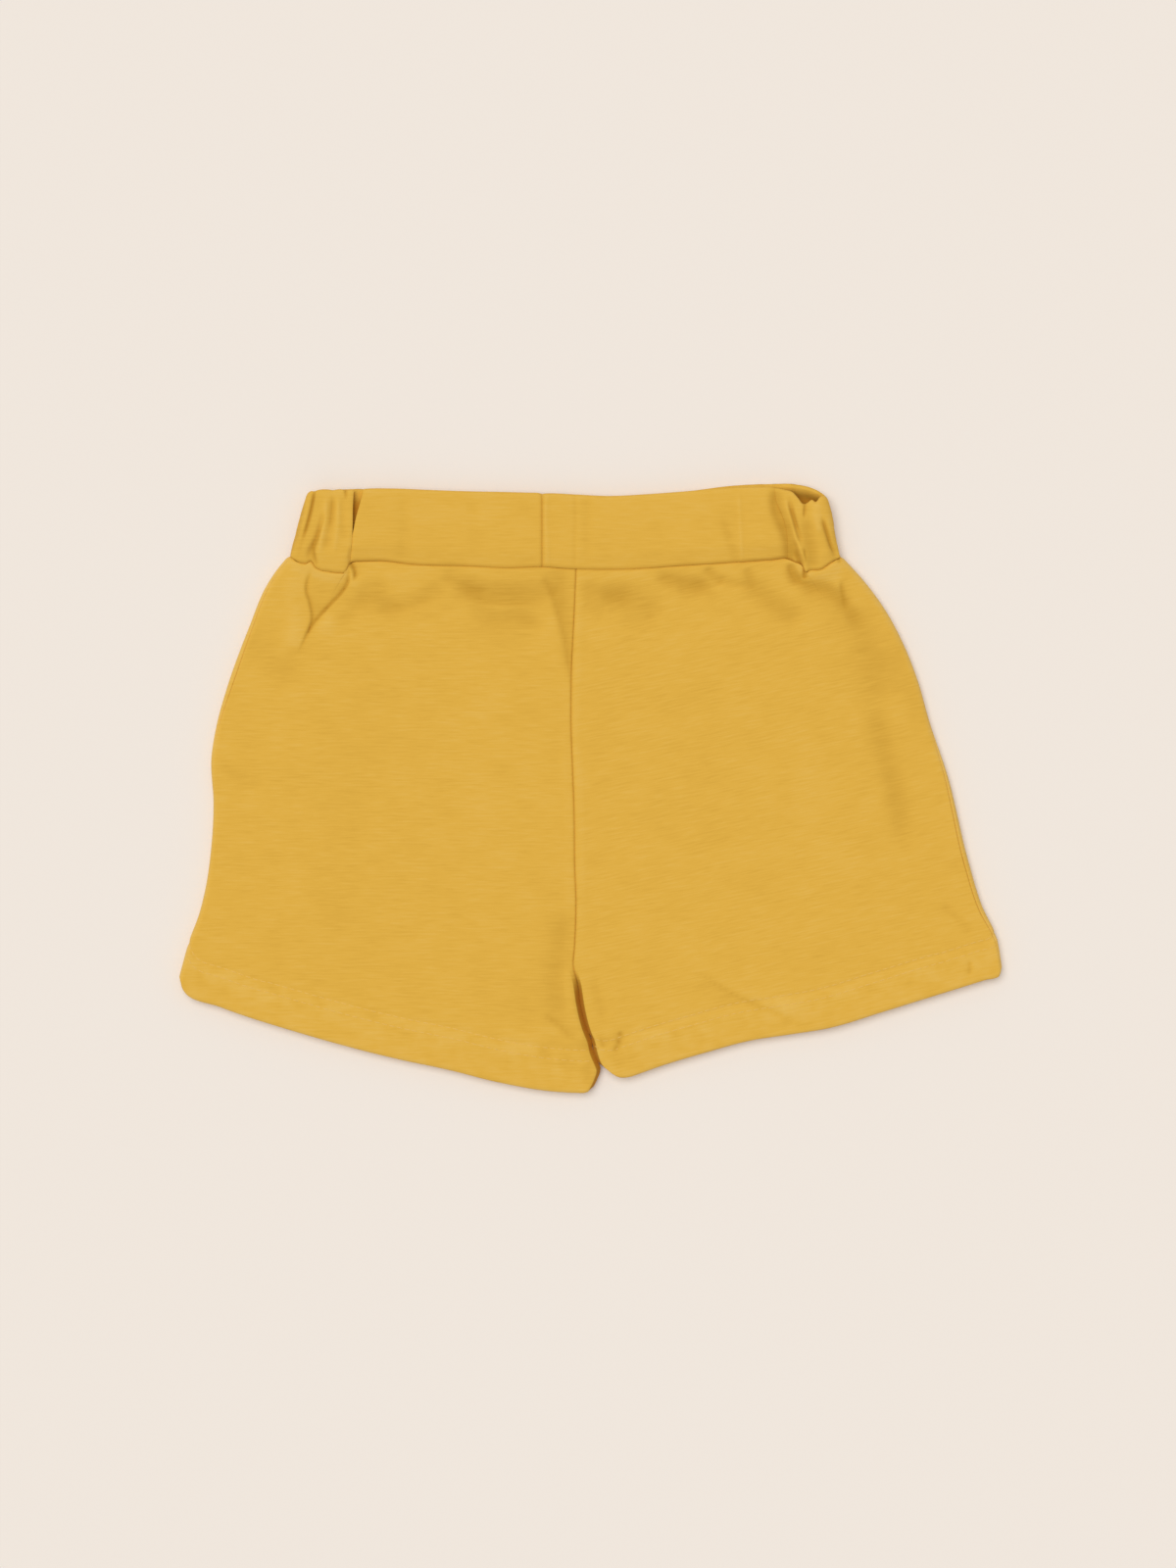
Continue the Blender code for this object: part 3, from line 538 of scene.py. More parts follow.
def undulation(x, y, seed, shortest=14, longest=70):
    """Low uneven rise and fall of soft cloth, about -1 to 1: a sum of 26 sine waves with seeded ways,
    phases and lengths, the longer ones higher."""
    chance = np.random.default_rng(seed)
    total = np.zeros_like(x)
    for _ in range(26):
        length = shortest * (longest / shortest) ** chance.random()
        angle, phase = chance.random(2) * 2 * np.pi
        ahead = x * np.cos(angle) + y * np.sin(angle)
        total += (length / longest) * np.sin(2 * np.pi * ahead / length + phase)
    return total / 4


# -------- the legs


def leg_edges(leg, rows, gap):
    """The side line and the middle line of one leg at each row, from the waist seam to the hem."""
    away = gap / 2 if leg == "right" else -gap / 2
    middle = [(x + away, y) for x, y in RISE_LINE + INSEAM_LINE[leg]]
    rise, inseam = shares_of(RISE_LINE), shares_of(RISE_LINE[-1:] + INSEAM_LINE[leg])
    knots = np.concatenate([rise * CROTCH_SHARE, CROTCH_SHARE + inseam[1:] * (1 - CROTCH_SHARE)])
    return smooth_curve(SIDE_LINE[leg], rows), smooth_table(knots, middle, rows)


def between(back_line, front_line, x, height_share):
    """The y at x between two seam lines: from the back's on the surface to the front's at full height."""
    return smooth_height(back_line, x) * (1 - height_share) + smooth_height(front_line, x) * height_share


def waist_y(x, height_share):
    """The y of the waist seam at x and a share of the full height."""
    return between(BACK_WAIST_SEAM, FRONT_WAIST_SEAM, x, height_share)


def leg_plan(leg, across, height_share, rows, gap):
    """Plan position of each grid point: a patch stretched between the leg's four seam lines. It is the
    sheet ruled from side to middle, plus the one ruled from waist to hem, less the flat one through the
    four corners."""
    side, middle = leg_edges(leg, rows, gap)
    hem = smooth_curve(HEM_LINE[leg], across)
    top_left, top_right = side[0], middle[0]
    u, v = across[..., None], rows[:, None, None]
    waist_x = top_left[0] + (top_right[0] - top_left[0]) * across
    waist = np.stack([waist_x, waist_y(waist_x, height_share) - gap], -1)
    corners = (1 - u) * (1 - v) * top_left + u * (1 - v) * top_right
    corners = corners + (1 - u) * v * side[-1] + u * v * middle[-1]
    return (1 - u) * side[:, None] + u * middle[:, None] + (1 - v) * waist + v * hem - corners


def leg_panel(leg, ply, cloth):
    """Outer and inner face of a leg panel, as grids from the waist down and from the side to the middle, and
    its wear and painted light. At the side both turn on an ellipse to the side seam. At the middle they dip to
    the rise seam, and below the crotch they turn on an ellipse to the inseam. The folds sink the height. The
    side seam and the hem's folded edge roll in on a quarter circle, the waist and rise seams lie in grooves
    with sloping sides, and the inner face is one cloth further in, square to the turn. Painted shade darkens
    the folds, the waist and rise seams and the slot, and painted highlight lightens the turned edges."""
    way, piece = (1, leg) if ply == "front" else (-1, f"back_{leg}")
    gap, side_turn, inseam_turn = cloth.seam_gap / MM, cloth.side_turn / MM, cloth.inseam_turn / MM
    hem_line = LEG_LENGTH - cloth.hem_depth / MM
    fine = 1 if ply == "front" else BACK_COARSER
    down = np.concatenate([
        quarter_stops(WAIST_TURN, 8)[:-1],
        stops(WAIST_TURN, (50, 0.5 * fine), (hem_line - 4, 1.3 * fine), (hem_line + 4, 0.45 * fine)),
        stops(hem_line + 4, (LEG_LENGTH - FOLD_TURN, 0.9 * fine))[1:-1],
        LEG_LENGTH - quarter_stops(FOLD_TURN, 9)[::-1],
    ])
    rows = down / LEG_LENGTH
    side, middle = leg_edges(leg, rows, gap)
    width = np.linalg.norm(middle - side, axis=1)[:, None]
    inward = ((middle - side) / width)[:, None, :]

    # angle of each column round the turned edge at the side and at the inseam
    start = np.radians(smooth_from_table(SIDE_SEAM_ROLL[leg], "degrees", rows))[:, None]
    start = start + way * gap / 2 / side_turn
    quarter = way * np.pi / 2 - start
    near = np.minimum(SIDE_ROLL / side_turn, 0.8 * np.abs(quarter)) / np.abs(quarter)
    shares = np.concatenate([near * quarter_stops(1, 6), near + (1 - near) * np.linspace(0, 1, 9)[1:]], 1)
    turn = start + quarter * shares
    inseam = np.linspace(np.pi / 2, 0, 12)[None, :] + np.zeros_like(width)
    flat_shares = np.concatenate([
        np.linspace(0, 0.25, round(64 / fine))[1:], np.linspace(0.25, 1, round(76 / fine))[1:-1],
    ])
    flat = side_turn + (width - side_turn - inseam_turn) * flat_shares
    across = np.concatenate([
        side_turn * (1 - np.cos(turn)), flat, width - inseam_turn * (1 - np.cos(inseam)),
    ], 1) / width
    opening = ease((rows - CROTCH_SHARE) * LEG_LENGTH / CROTCH_BLEND)[:, None]
    lean = np.concatenate([np.cos(turn), 0 * flat, -np.cos(inseam) * opening], 1)
    stand = np.concatenate([np.sin(turn), way + 0 * flat, way * (1 - opening + opening * np.sin(inseam))], 1)

    plan = leg_plan(leg, across, 0.5 + 0.5 * stand, rows, gap)
    x, y = plan[..., 0], plan[..., 1]
    sunk, painted_shade = (found.reshape(x.shape) for found in relief(piece, x.ravel(), y.ravel()))
    low = undulation(x, y, UNDULATION_SEED[piece]) * cloth.undulation / MM
    low_side = smooth_from_table(FRONT_HEIGHTS[leg], "side", rows)[:, None]
    high_middle = smooth_from_table(FRONT_HEIGHTS[leg], "middle", rows)[:, None]
    half = low_side / 2
    if ply == "front":
        crown = (high_middle - low_side) * ease(across / MIDDLE_SHARE)
        height = low_side + crown - sunk + low * ease(across * 8)
        reach = np.where(stand > 0, height - half, half)
    else:
        # the elastic gathers the back's top edge, and the puckers die away down the seat
        gathers = gather_profile(x / PUCKER_WIDTH + 0.2 * np.sin(y / 9), 4)
        pucker = PUCKER_DEPTH * gathers * np.exp(-down[:, None] / PUCKER_LENGTH)
        floor = np.maximum(0, sunk + pucker + np.abs(low))
        reach = np.where(stand > 0, low_side - half, half - floor * ease(across * 12))
    z = half + reach * stand
    # the last columns: the dip to the rise seam above the crotch, the turn to the inseam below it
    last = slice(-inseam.shape[1], None)
    level = half + way * reach[:, last]
    groove = dip_in(inseam_turn * (1 - np.cos(inseam)), RISE_REACH)
    closed = level - way * RISE_DIP * groove
    rise = 1 - np.cos(inseam) ** INSEAM_POWER
    turned = half + way * (gap / 2 + (reach[:, last] - gap / 2) * rise)
    z[:, last] = closed + (turned - closed) * opening

    def at_side(values):
        return np.concatenate([values, 0 * flat, 0 * inseam], 1)

    thick = np.where(down > hem_line + 0.5, cloth.hem_ply, cloth.ply)[:, None] / MM
    side_seam = at_side(SIDE_DIP * roll_in(np.abs(turn - start) * side_turn, SIDE_ROLL))
    stitches = STITCH_DIP * np.exp(-(((down - hem_line) / STITCH_HALF) ** 2))[:, None]
    waist = dip_in(down, WAIST_TURN)[:, None]
    dip = side_seam + stitches + WAIST_DIP * waist
    folded = roll_in(LEG_LENGTH - down, FOLD_TURN)[:, None]
    fold = FOLD_INSET * thick * folded

    def shifted(depth):
        return np.concatenate([plan + inward * (depth * lean)[..., None], (z - stand * depth)[..., None]], 2)

    # the turned-up hem is worn most along its stitching, and half as much at its edge
    hem = (ease((down - hem_line + 4) / 8) * (1 - 0.5 * ease((down - hem_line - 2) / 10)))[:, None]
    # painted highlight on the side's turned edge, strongest where it stands steepest
    painted_sheen_mask = at_side(np.cos(turn) ** 2)
    worn = HEM_WORN * hem * (1 + HEM_UNEVEN * undulation(x, y, 17, *HEM_PATCHES))
    # the hem's wear, painted highlight along the turned edges, and painted shade down in the waist seam and in
    # the folds
    wash = worn + PAINTED_EDGE_SHEEN * painted_sheen_mask + PAINTED_HEM_EDGE_SHEEN * folded - SEAM_SHADE * waist - painted_shade
    # painted shade down in the slot between the legs, and in the rise seam
    wash[:, last] -= SLOT_SHADE * opening * ease(6 * (1 - rise)) + RISE_SHADE * (1 - opening) * groove
    return shifted(dip + fold), shifted(thick + 0.6 * dip - fold), wash


# -------- the waistband


def gather_profile(phase, seed):
    """Depth of gathers, 0 to 1: rounded ridges and sharp valleys, 1 - |sin(pi phase)|, seeded in depth."""
    depths = 0.45 + 0.55 * np.random.default_rng(seed).random(96)
    return smooth_noise(depths, phase) * (1 - np.sqrt(np.sin(np.pi * phase) ** 2 + 0.01))


def smooth_noise(values, at):
    """A row of values read at any position, eased from each to the next, and repeated past its end."""
    i = np.floor(at).astype(int)
    f = ease(at - i)
    return values[i % len(values)] * (1 - f) + values[(i + 1) % len(values)] * f


def band_section(up):
    """The elasticated band's path in section, as x and z, at one share of its height: from its left front
    end round the left side, along the back and round the right side to its right front end. Each side turns
    on half an ellipse."""
    angle = np.linspace(np.pi / 2, -np.pi / 2, 61)
    turns = []
    for side, way in (("left", 1), ("right", -1)):
        half = LOOP_HEIGHT[side] / 2
        x = smooth_from_table(BAND_ROWS, f"{side}_edge", up) + way * LOOP_TURN * (1 - np.cos(angle))
        turns.append(np.stack([x, half + half * np.sin(angle)], 1)[::way])
    ends = [(smooth_from_table(BAND_ROWS, f"{side}_end", up), LOOP_HEIGHT[side]) for side in SIDES]
    return np.concatenate([ends[:1], *turns, ends[1:]])


def along(path, share):
    """Points at shares of a path's length, along its straight pieces, and the path's length."""
    knots = shares_of(path)
    length = np.linalg.norm(np.diff(path, axis=0), axis=1).sum()
    return np.stack([np.interp(share, knots, path[:, k]) for k in (0, 1)], -1), length


def band_y(x, height_share, up):
    """The y of a band point: the given share of the way from the waist seam to the top edge."""
    return waist_y(x, height_share) * (1 - up) + between(BACK_TOP_EDGE, FRONT_TOP_EDGE, x, height_share) * up


def band_shares():
    """Shares of a band's height, crowded at its rolled seam edge and its folded top edge."""
    return np.concatenate([
        quarter_stops(BAND_TURN, 9)[:-1], stops(BAND_TURN, (BAND_TALL - FOLD_TURN, BAND_STEP)),
        (BAND_TALL - quarter_stops(FOLD_TURN, 9)[::-1])[1:],
    ]) / BAND_TALL


def band_edges(up, wall, x, height):
    """How far a band's outer face, and its inner face, roll in at the folded top edge, and come down at the
    lower one to the height of the seam: on a long slope, and in a groove at its foot. Where the band is
    lower than the seam, it is the leg's own dip."""
    slope = (1 - GROOVE_SHARE) * (1 - ease(up * BAND_TALL / BAND_SLOPE))
    above = np.maximum(WAIST_DIP, height - smooth_height(SEAM_HEIGHTS, x))
    seam = above * (slope + GROOVE_SHARE * dip_in(up * BAND_TALL, BAND_TURN))
    fold = FOLD_INSET * wall * roll_in((1 - up) * BAND_TALL, FOLD_TURN)
    return seam + fold, 0.7 * seam - fold


def edge_wear_and_seam_shade(up):
    """A band's wear and painted shade by share of its height: lighter along the worn folded top edge, with
    painted shade down in the seam.
    """
    top = TOP_WORN * np.exp(-(((1 - up) * BAND_TALL - 1) ** 2))
    return top - SEAM_SHADE * dip_in(up * BAND_TALL, WAIST_TURN)


def band_lift(x, up, share):
    """How far the back band stands up behind the front, by the table of the rim and the wedge. Both die
    away towards the front as (1 - share)^2, by the share of the way round from the back."""
    height, fade = up * BAND_TALL, (1 - share) ** 2
    rim = RIM.height * ease((x - RIM.x) / RIM.width) * ease((height - RIM.foot) / RIM.rise)
    wedge = WEDGE.height * np.exp(-(((x - WEDGE.x) / WEDGE.width) ** 2))
    return rim * fade + wedge * ease((height - WEDGE.foot) / WEDGE.rise) * fade


def elastic_band_faces(cloth):
    """Outer and inner face of the elasticated band, and its wear and painted light, row by row up its height.
    Its gathers are pressed into the outer face along their own slanting lines, and give way to the folds of
    the table where it comes to the front; painted shade darkens the gathers and the folds. Behind the front it
    is lifted to the heights that show."""
    wall = cloth.band_wall / MM
    columns = stops(0, (0.08, 0.0008), (0.92, 0.0023), (1, 0.0008))
    outer, inner, wash = [], [], []
    for up in band_shares():
        face, length = along(band_section(up), columns)
        x = face[:, 0]
        onward = np.gradient(face, axis=0)
        normal = np.stack([onward[:, 1], -onward[:, 0]], 1) / np.linalg.norm(onward, axis=1)[:, None]
        share = np.clip(face[:, 1] / np.where(x < 0, LOOP_HEIGHT["left"], LOOP_HEIGHT["right"]), 0, 1)
        y = band_y(x, share, up)
        on_front = ease((share - 0.55) / 0.4)  # the gathers end a little above half height, at the sides
        slant = 0.5 * np.sin(9 * columns + 1) * (up - 0.5) + 0.12 * np.sin(4 * up + 60 * columns)
        ripple = GATHER_DEPTH * gather_profile(GATHERS * columns + slant, 7) * (
            0.75 + 0.25 * np.cos(5 * up + 40 * columns))
        ripple += FINE_DEPTH * gather_profile(FINE_GATHERS * columns - slant, 11)
        low = undulation(x, y, 21, 8, 30) * cloth.undulation / MM * on_front
        folds, painted_shade = relief("band", x, y)
        sunk = ripple * (1 - on_front) + folds * on_front - low
        dips = np.where(x < 0, END_DIP["left"], END_DIP["right"])
        end = dips * dip_in(np.minimum(columns, 1 - columns) * length, END_REACH)
        outside, inside = band_edges(up, wall, x, face[:, 1])
        lift = band_lift(x, up, share)
        for depth, points in ((sunk + end + outside, outer), (wall + 0.3 * sunk + end / 2 + inside, inner)):
            section = face - normal * np.broadcast_to(depth, columns.shape)[:, None]
            y = band_y(section[:, 0], share, up)
            points.append(np.stack([section[:, 0], y, section[:, 1] + lift], -1))
        # painted shade down in the gathers and in the folds, with the band's wear and seam shade
        wash.append(edge_wear_and_seam_shade(up) - 0.5 * ripple * (1 - on_front) - painted_shade * on_front)
    return np.array(outer), np.array(inner), np.array(wash)


def strip_faces(side, cloth):
    """Outer and inner face of a flat strip of the front waistband, from the join to the elastic, and its wear
    and painted light. The faces are the band's height along x, less the folds, the dips at both ends and the
    rolled edges; painted shade darkens the folds and the dips."""
    wall, gap = cloth.band_wall / MM, cloth.seam_gap / MM
    join = BAND_JOIN + (gap / 2 if side == "right" else -gap / 2)
    up = band_shares()[:, None]
    length = smooth_from_table(BAND_ROWS, f"{side}_strip", up) - join
    run = np.concatenate([
        quarter_stops(JOIN_REACH, 7)[:-1], stops(JOIN_REACH, (STRIP_RUN - END_REACH, STRIP_STEP))[:-1],
        (STRIP_RUN - quarter_stops(END_REACH, 8))[::-1],
    ])
    columns = run[None, :] / STRIP_RUN
    x = join + length * columns
    y = band_y(x, 1, up)
    level = smooth_table([row.x for row in BAND_HEIGHTS], [row.height for row in BAND_HEIGHTS], x)
    sunk, painted_shade = (found.reshape(x.shape) for found in relief(f"strip_{side}", x.ravel(), y.ravel()))
    sunk = sunk - undulation(x, y, 31, 12, 60) * cloth.undulation / MM
    end = END_DIP[side] * dip_in((1 - columns) * np.abs(length), END_REACH)
    start = JOIN_DIP * dip_in(columns * np.abs(length), JOIN_REACH)
    outside, inside = band_edges(up, wall, x, level)
    outer = np.stack([x, y, level - sunk - end - start - outside], -1)
    inner = np.stack([x, y, level - wall - 0.3 * sunk - inside - end / 2 - start / 2], -1)
    # painted shade in the folds and in the dips at the join and at the elastic
    wash = edge_wear_and_seam_shade(up) - painted_shade - 0.35 * (end + start)
    return outer, inner, wash


# -------- meshes


def wall_mesh(outer, inner):
    """Points and quads of a closed wall: the outer grid, the inner grid turned round, and the rim between
    them. It is turned inside out if its signed volume is negative."""
    rows, columns = outer.shape[:2]
    index = np.arange(rows * columns).reshape(rows, columns)
    quads = np.stack([index[:-1, :-1], index[:-1, 1:], index[1:, 1:], index[1:, :-1]], -1).reshape(-1, 4)
    ring = np.concatenate([index[0], index[1:, -1], index[-1, -2::-1], index[-2:0:-1, 0]])
    onward = np.roll(ring, -1)
    rim = np.stack([onward, ring, ring + index.size, onward + index.size], -1)
    points = np.concatenate([outer.reshape(-1, 3), inner.reshape(-1, 3)])
    faces = np.concatenate([quads, quads[:, ::-1] + index.size, rim])
    corners = points[faces]
    middle = corners.mean(1)
    volume = sum(
        (middle * np.cross(corners[:, k], corners[:, (k + 1) % 4])).sum() for k in range(4)
    )
    return points, faces if volume > 0 else faces[:, ::-1]


def knit_coordinates(points, degrees):
    """Place in the knit of each point, in metres: its plan turned so that the first one runs along the
    courses."""
    angle = np.radians(degrees)
    along_course = points[:, 0] * np.cos(angle) + points[:, 1] * np.sin(angle)
    along_wale = points[:, 1] * np.cos(angle) - points[:, 0] * np.sin(angle)
    return np.stack([along_course, along_wale], -1) * MM


def add_piece(name, points, faces, material, knit=None, wash=None):
    """A new object with this mesh, smooth but for its sharpest edges, riding with the cloth's body."""
    if not np.isfinite(points).all():
        raise ValueError(f"{name}: a point has no place")
    mesh = bpy.data.meshes.new(name)
    mesh.from_pydata((points * MM).tolist(), [], faces.tolist())
    mesh.shade_smooth()
    mesh.set_sharp_from_angle(angle=np.radians(65))
    if knit is not None:
        layer = mesh.uv_layers.new(name=KNIT_MAP)
        corner = np.empty(len(mesh.loops), np.int32)
        mesh.loops.foreach_get("vertex_index", corner)
        layer.data.foreach_set("uv", knit[corner].astype(np.float32).ravel())
        mesh.attributes.new(WEAR_AND_PAINTED_LIGHT, "FLOAT", "POINT").data.foreach_set("value", wash.astype(np.float32).ravel())
    mesh.materials.append(material)
    piece = bpy.data.objects.new(name, mesh)
    bpy.context.scene.collection.objects.link(piece)
    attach(piece, BODY)
    return piece


def add_cloth(name, node, panel, degrees, slot):
    """One piece of cloth in place of the plain solid of the same pattern piece. Its inner face has painted
    shade, for the shade inside the shorts, which fades out over the last few millimetres before a folded edge."""
    outer, inner, wash = panel
    points, faces = wall_mesh(outer, inner)
    from_fold = np.linalg.norm(outer - outer[-1], axis=2)
    # painted shade on the inner face, fading out near the folded edge
    inside = wash * INSIDE_SHARE_OF_OUTER - PAINTED_INSIDE_SHADE * (1 - np.exp(-((from_fold / INSIDE_SHADE_FADE) ** 4)))
    both = np.concatenate([wash.ravel(), inside.ravel()])
    piece = add_piece(name, points, faces, knit_for(slot), knit_coordinates(points, degrees), both)
    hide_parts(node)


def thread_mesh(line, beside, pitch):
    """A row of stitches laid along a line on the cloth: each is a tube of six sides, its radius
    THREAD_RADIUS * sqrt(1 - t^4) for t from one end to the other, half sunk between the two ends. Beside is
    the line's neighbour on the cloth, which gives the way that the cloth faces."""
    knots = shares_of(line) * np.linalg.norm(np.diff(line, axis=0), axis=1).sum()
    at = np.arange(pitch, knots[-1] - pitch, pitch)

    def read(values, where):
        return np.stack([np.interp(where, knots, values[:, k]) for k in range(3)], -1)

    centre = read(line, at)
    way = read(line, at + 0.5) - read(line, at - 0.5)
    way /= np.linalg.norm(way, axis=1)[:, None]
    across = read(beside, at) - centre
    across -= way * (across * way).sum(1)[:, None]
    across /= np.linalg.norm(across, axis=1)[:, None]
    out = np.cross(way, across)
    t = np.array([-1, -0.8, -0.3, 0.3, 0.8, 1])
    angle = np.arange(6) * np.pi / 3
    size = THREAD_RADIUS * np.sqrt(np.maximum(1 - t**4, 0.02))[None, :, None, None]
    ring = across[:, None, None] * np.cos(angle)[:, None] + out[:, None, None] * np.sin(angle)[:, None]
    spine = (centre + out * THREAD_RADIUS * 0.35)[:, None] + (
        way[:, None] * (t * (STITCH_SHARE * pitch) / 2)[None, :, None])
    points = spine[:, :, None] + ring * size
    index = np.arange(points[..., 0].size).reshape(points.shape[:3])
    onward = np.roll(index, -1, axis=2)
    sides = np.stack([index[:, :-1], index[:, 1:], onward[:, 1:], onward[:, :-1]], -1).reshape(-1, 4)
    caps = [index[:, end, corners] for end, corners in (
        (0, [0, 1, 2, 3]), (0, [3, 4, 5, 0]), (-1, [3, 2, 1, 0]), (-1, [0, 5, 4, 3]))]
    return points.reshape(-1, 3), np.concatenate([sides, *caps])


# -------- materials


def linear(hex_colour):
    """An sRGB hex colour as linear red, green, blue and alpha."""
    channels = np.array([int(hex_colour[k : k + 2], 16) for k in (1, 3, 5)]) / 255
    low = channels / 12.92
    high = ((channels + 0.055) / 1.055) ** 2.4
    return (*np.where(channels <= 0.04045, low, high).tolist(), 1.0)


def add_node(tree, kind, sockets=(), **settings):
    """A node of this kind with its settings, its input sockets given values or sockets to link from."""
    node = tree.nodes.new("ShaderNode" + kind)
    for name, value in settings.items():
        setattr(node, name, value)
    for name, value in dict(sockets).items():
        if isinstance(value, NodeSocket):
            tree.links.new(value, node.inputs[name])
        else:
            node.inputs[name].default_value = value
    return node


def new_material(name, **inputs):
    """A material with an empty node tree but for its output and its shader, whose inputs are given with _
    for a space; its tree; and its shader."""
    material = bpy.data.materials.new(name)
    material.use_nodes = True
    shader = material.node_tree.nodes["Principled BSDF"]
    for key, value in inputs.items():
        shader.inputs[key.replace("_", " ")].default_value = value
    return material, material.node_tree, shader


def knit_material(name, colours, streaks):
    """Slub cotton jersey: a fine matt knit of yarn whose thickness varies, so that short thicker lengths show
    as faint lighter and darker streaks along the courses. The fibre ends give a soft fuzz, whose sheen
    lightens grazing views. The tone is the streaks, the yarn, the mottle and the attribute's wear and painted
    light together, and picks the colour: the ramp's low end is painted shade."""
    material, tree, shader = new_material(
        name, Roughness=0.92, Specular_IOR_Level=0.2, Sheen_Weight=0.16, Sheen_Roughness=0.5,
        Sheen_Tint=tuple(colours.worn),
    )
    place = add_node(tree, "UVMap", uv_map=KNIT_MAP).outputs["UV"]

    def stretched(length_mm, height_mm, detail):
        """Noise in patches of this length along a course and this height across it."""
        scaled = add_node(tree, "Mapping", {
            "Vector": place, "Scale": (1000 / length_mm, 1000 / height_mm, 1),
        })
        return add_node(tree, "TexNoise", {
            "Vector": scaled.outputs["Vector"], "Scale": 1, "Detail": detail, "Roughness": 0.55,
        }, noise_dimensions="2D").outputs["Fac"]

    def ranged(value, low, high, to_low, to_high):
        """The value carried from one range to another, and held at its ends."""
        return add_node(tree, "MapRange", {
            "Value": value, "From Min": low, "From Max": high, "To Min": to_low, "To Max": to_high,
        }).outputs["Result"]

    def combined(operation, first, second):
        return add_node(tree, "Math", {0: first, 1: second}, operation=operation).outputs[0]

    slub = stretched(10, 0.75, 1)  # slubs 4 to 25 mm long, one course high
    yarn = stretched(4, 0.5, 2)  # the yarn's own unevenness; real courses are 0.45 mm apart
    mottle = stretched(16, 11, 3)  # uneven dye
    light = combined("MULTIPLY", ranged(slub, 0.54, 0.8, 0, 1), streaks)
    dark = combined("MULTIPLY", ranged(slub, 0.46, 0.2, 0, 1), streaks)
    tone = combined("SUBTRACT", light, dark)
    tone = combined("ADD", tone, ranged(yarn, 0.25, 0.75, -0.05, 0.05))
    tone = combined("ADD", tone, ranged(mottle, 0.3, 0.7, -0.06, 0.06))
    # the attribute's wear, painted shade and painted highlight
    wash = add_node(tree, "Attribute", attribute_name=WEAR_AND_PAINTED_LIGHT).outputs["Fac"]
    tone = combined("ADD", tone, wash)
    # the ramp runs from the deepest painted shade, inside and between the legs, through the painted shade of a
    # crease and the plain knit, to the worn knit, which is also the painted highlight
    ramp = add_node(tree, "ValToRGB", {"Fac": ranged(tone, -2, 1, 0, 1)})
    ramp.color_ramp.elements[0].color = tuple(colours.deep)
    ramp.color_ramp.elements[1].color = tuple(colours.worn)
    ramp.color_ramp.elements.new(1 / 3).color = tuple(colours.crease)
    ramp.color_ramp.elements.new(2 / 3).color = tuple(colours.knit)
    tree.links.new(ramp.outputs["Color"], shader.inputs["Base Color"])

    # loops: wales 0.9 mm and courses 0.7 mm apart, a little coarser than real, to show in close views
    separate = add_node(tree, "SeparateXYZ", {"Vector": place})
    wale, course = (
        combined("SINE", combined("MULTIPLY", separate.outputs[axis], 2 * np.pi * 1000 / apart), 0)
        for axis, apart in (("X", 0.9), ("Y", 0.7))
    )
    loops = combined("MULTIPLY", combined("MULTIPLY", wale, course), 0.25)
    thick = combined("ADD", combined("MULTIPLY", slub, 1.2), combined("MULTIPLY", yarn, 0.9))
    height = combined("ADD", thick, loops)
    bump = add_node(tree, "Bump", {"Height": height, "Strength": 0.4, "Distance": 0.00007})
    tree.links.new(bump.outputs["Normal"], shader.inputs["Normal"])
    return material


def thread_material(colours):
    """Spun polyester sewing thread dyed to match: smoother than the knit, a dull gloss along each ply."""
    material, tree, shader = new_material("matching spun thread", Roughness=0.7)
    place = add_node(tree, "TexCoord").outputs["Object"]
    twist = add_node(tree, "TexNoise", {"Vector": place, "Scale": 1000 / 0.4, "Detail": 1})
    ramp = add_node(tree, "ValToRGB", {"Fac": twist.outputs["Fac"]})
    ramp.color_ramp.elements[0].color = tuple(colours.knit)
    ramp.color_ramp.elements[1].color = tuple(colours.worn)
    tree.links.new(ramp.outputs["Color"], shader.inputs["Base Color"])
    bump = add_node(tree, "Bump", {
        "Height": twist.outputs["Fac"], "Strength": 0.3, "Distance": 0.0001,
    })
    tree.links.new(bump.outputs["Normal"], shader.inputs["Normal"])
    return material


def floor_material(colours):
    """Matt seamless paper: even, with a very fine tooth."""
    material, tree, shader = new_material(
        "matt cream paper", Base_Color=tuple(colours.floor), Roughness=0.95, Specular_IOR_Level=0.1
    )
    place = add_node(tree, "TexCoord").outputs["Object"]
    tooth = add_node(tree, "TexNoise", {"Vector": place, "Scale": 1000 / 1.5, "Detail": 2})
    bump = add_node(tree, "Bump", {
        "Height": tooth.outputs["Fac"], "Strength": 0.05, "Distance": 0.0001,
    })
    tree.links.new(bump.outputs["Normal"], shader.inputs["Normal"])
    return material


# -------- settings


def length_setting(name, description, default):
    """A length in metres that a user can change."""
    return FloatProperty(name=name, description=description, default=default, unit="LENGTH")


def colour_setting(name, description, hex_colour):
    """A colour that a user can change."""
    return FloatVectorProperty(
        name=name, description=description, subtype="COLOR", size=4, default=linear(hex_colour)
    )


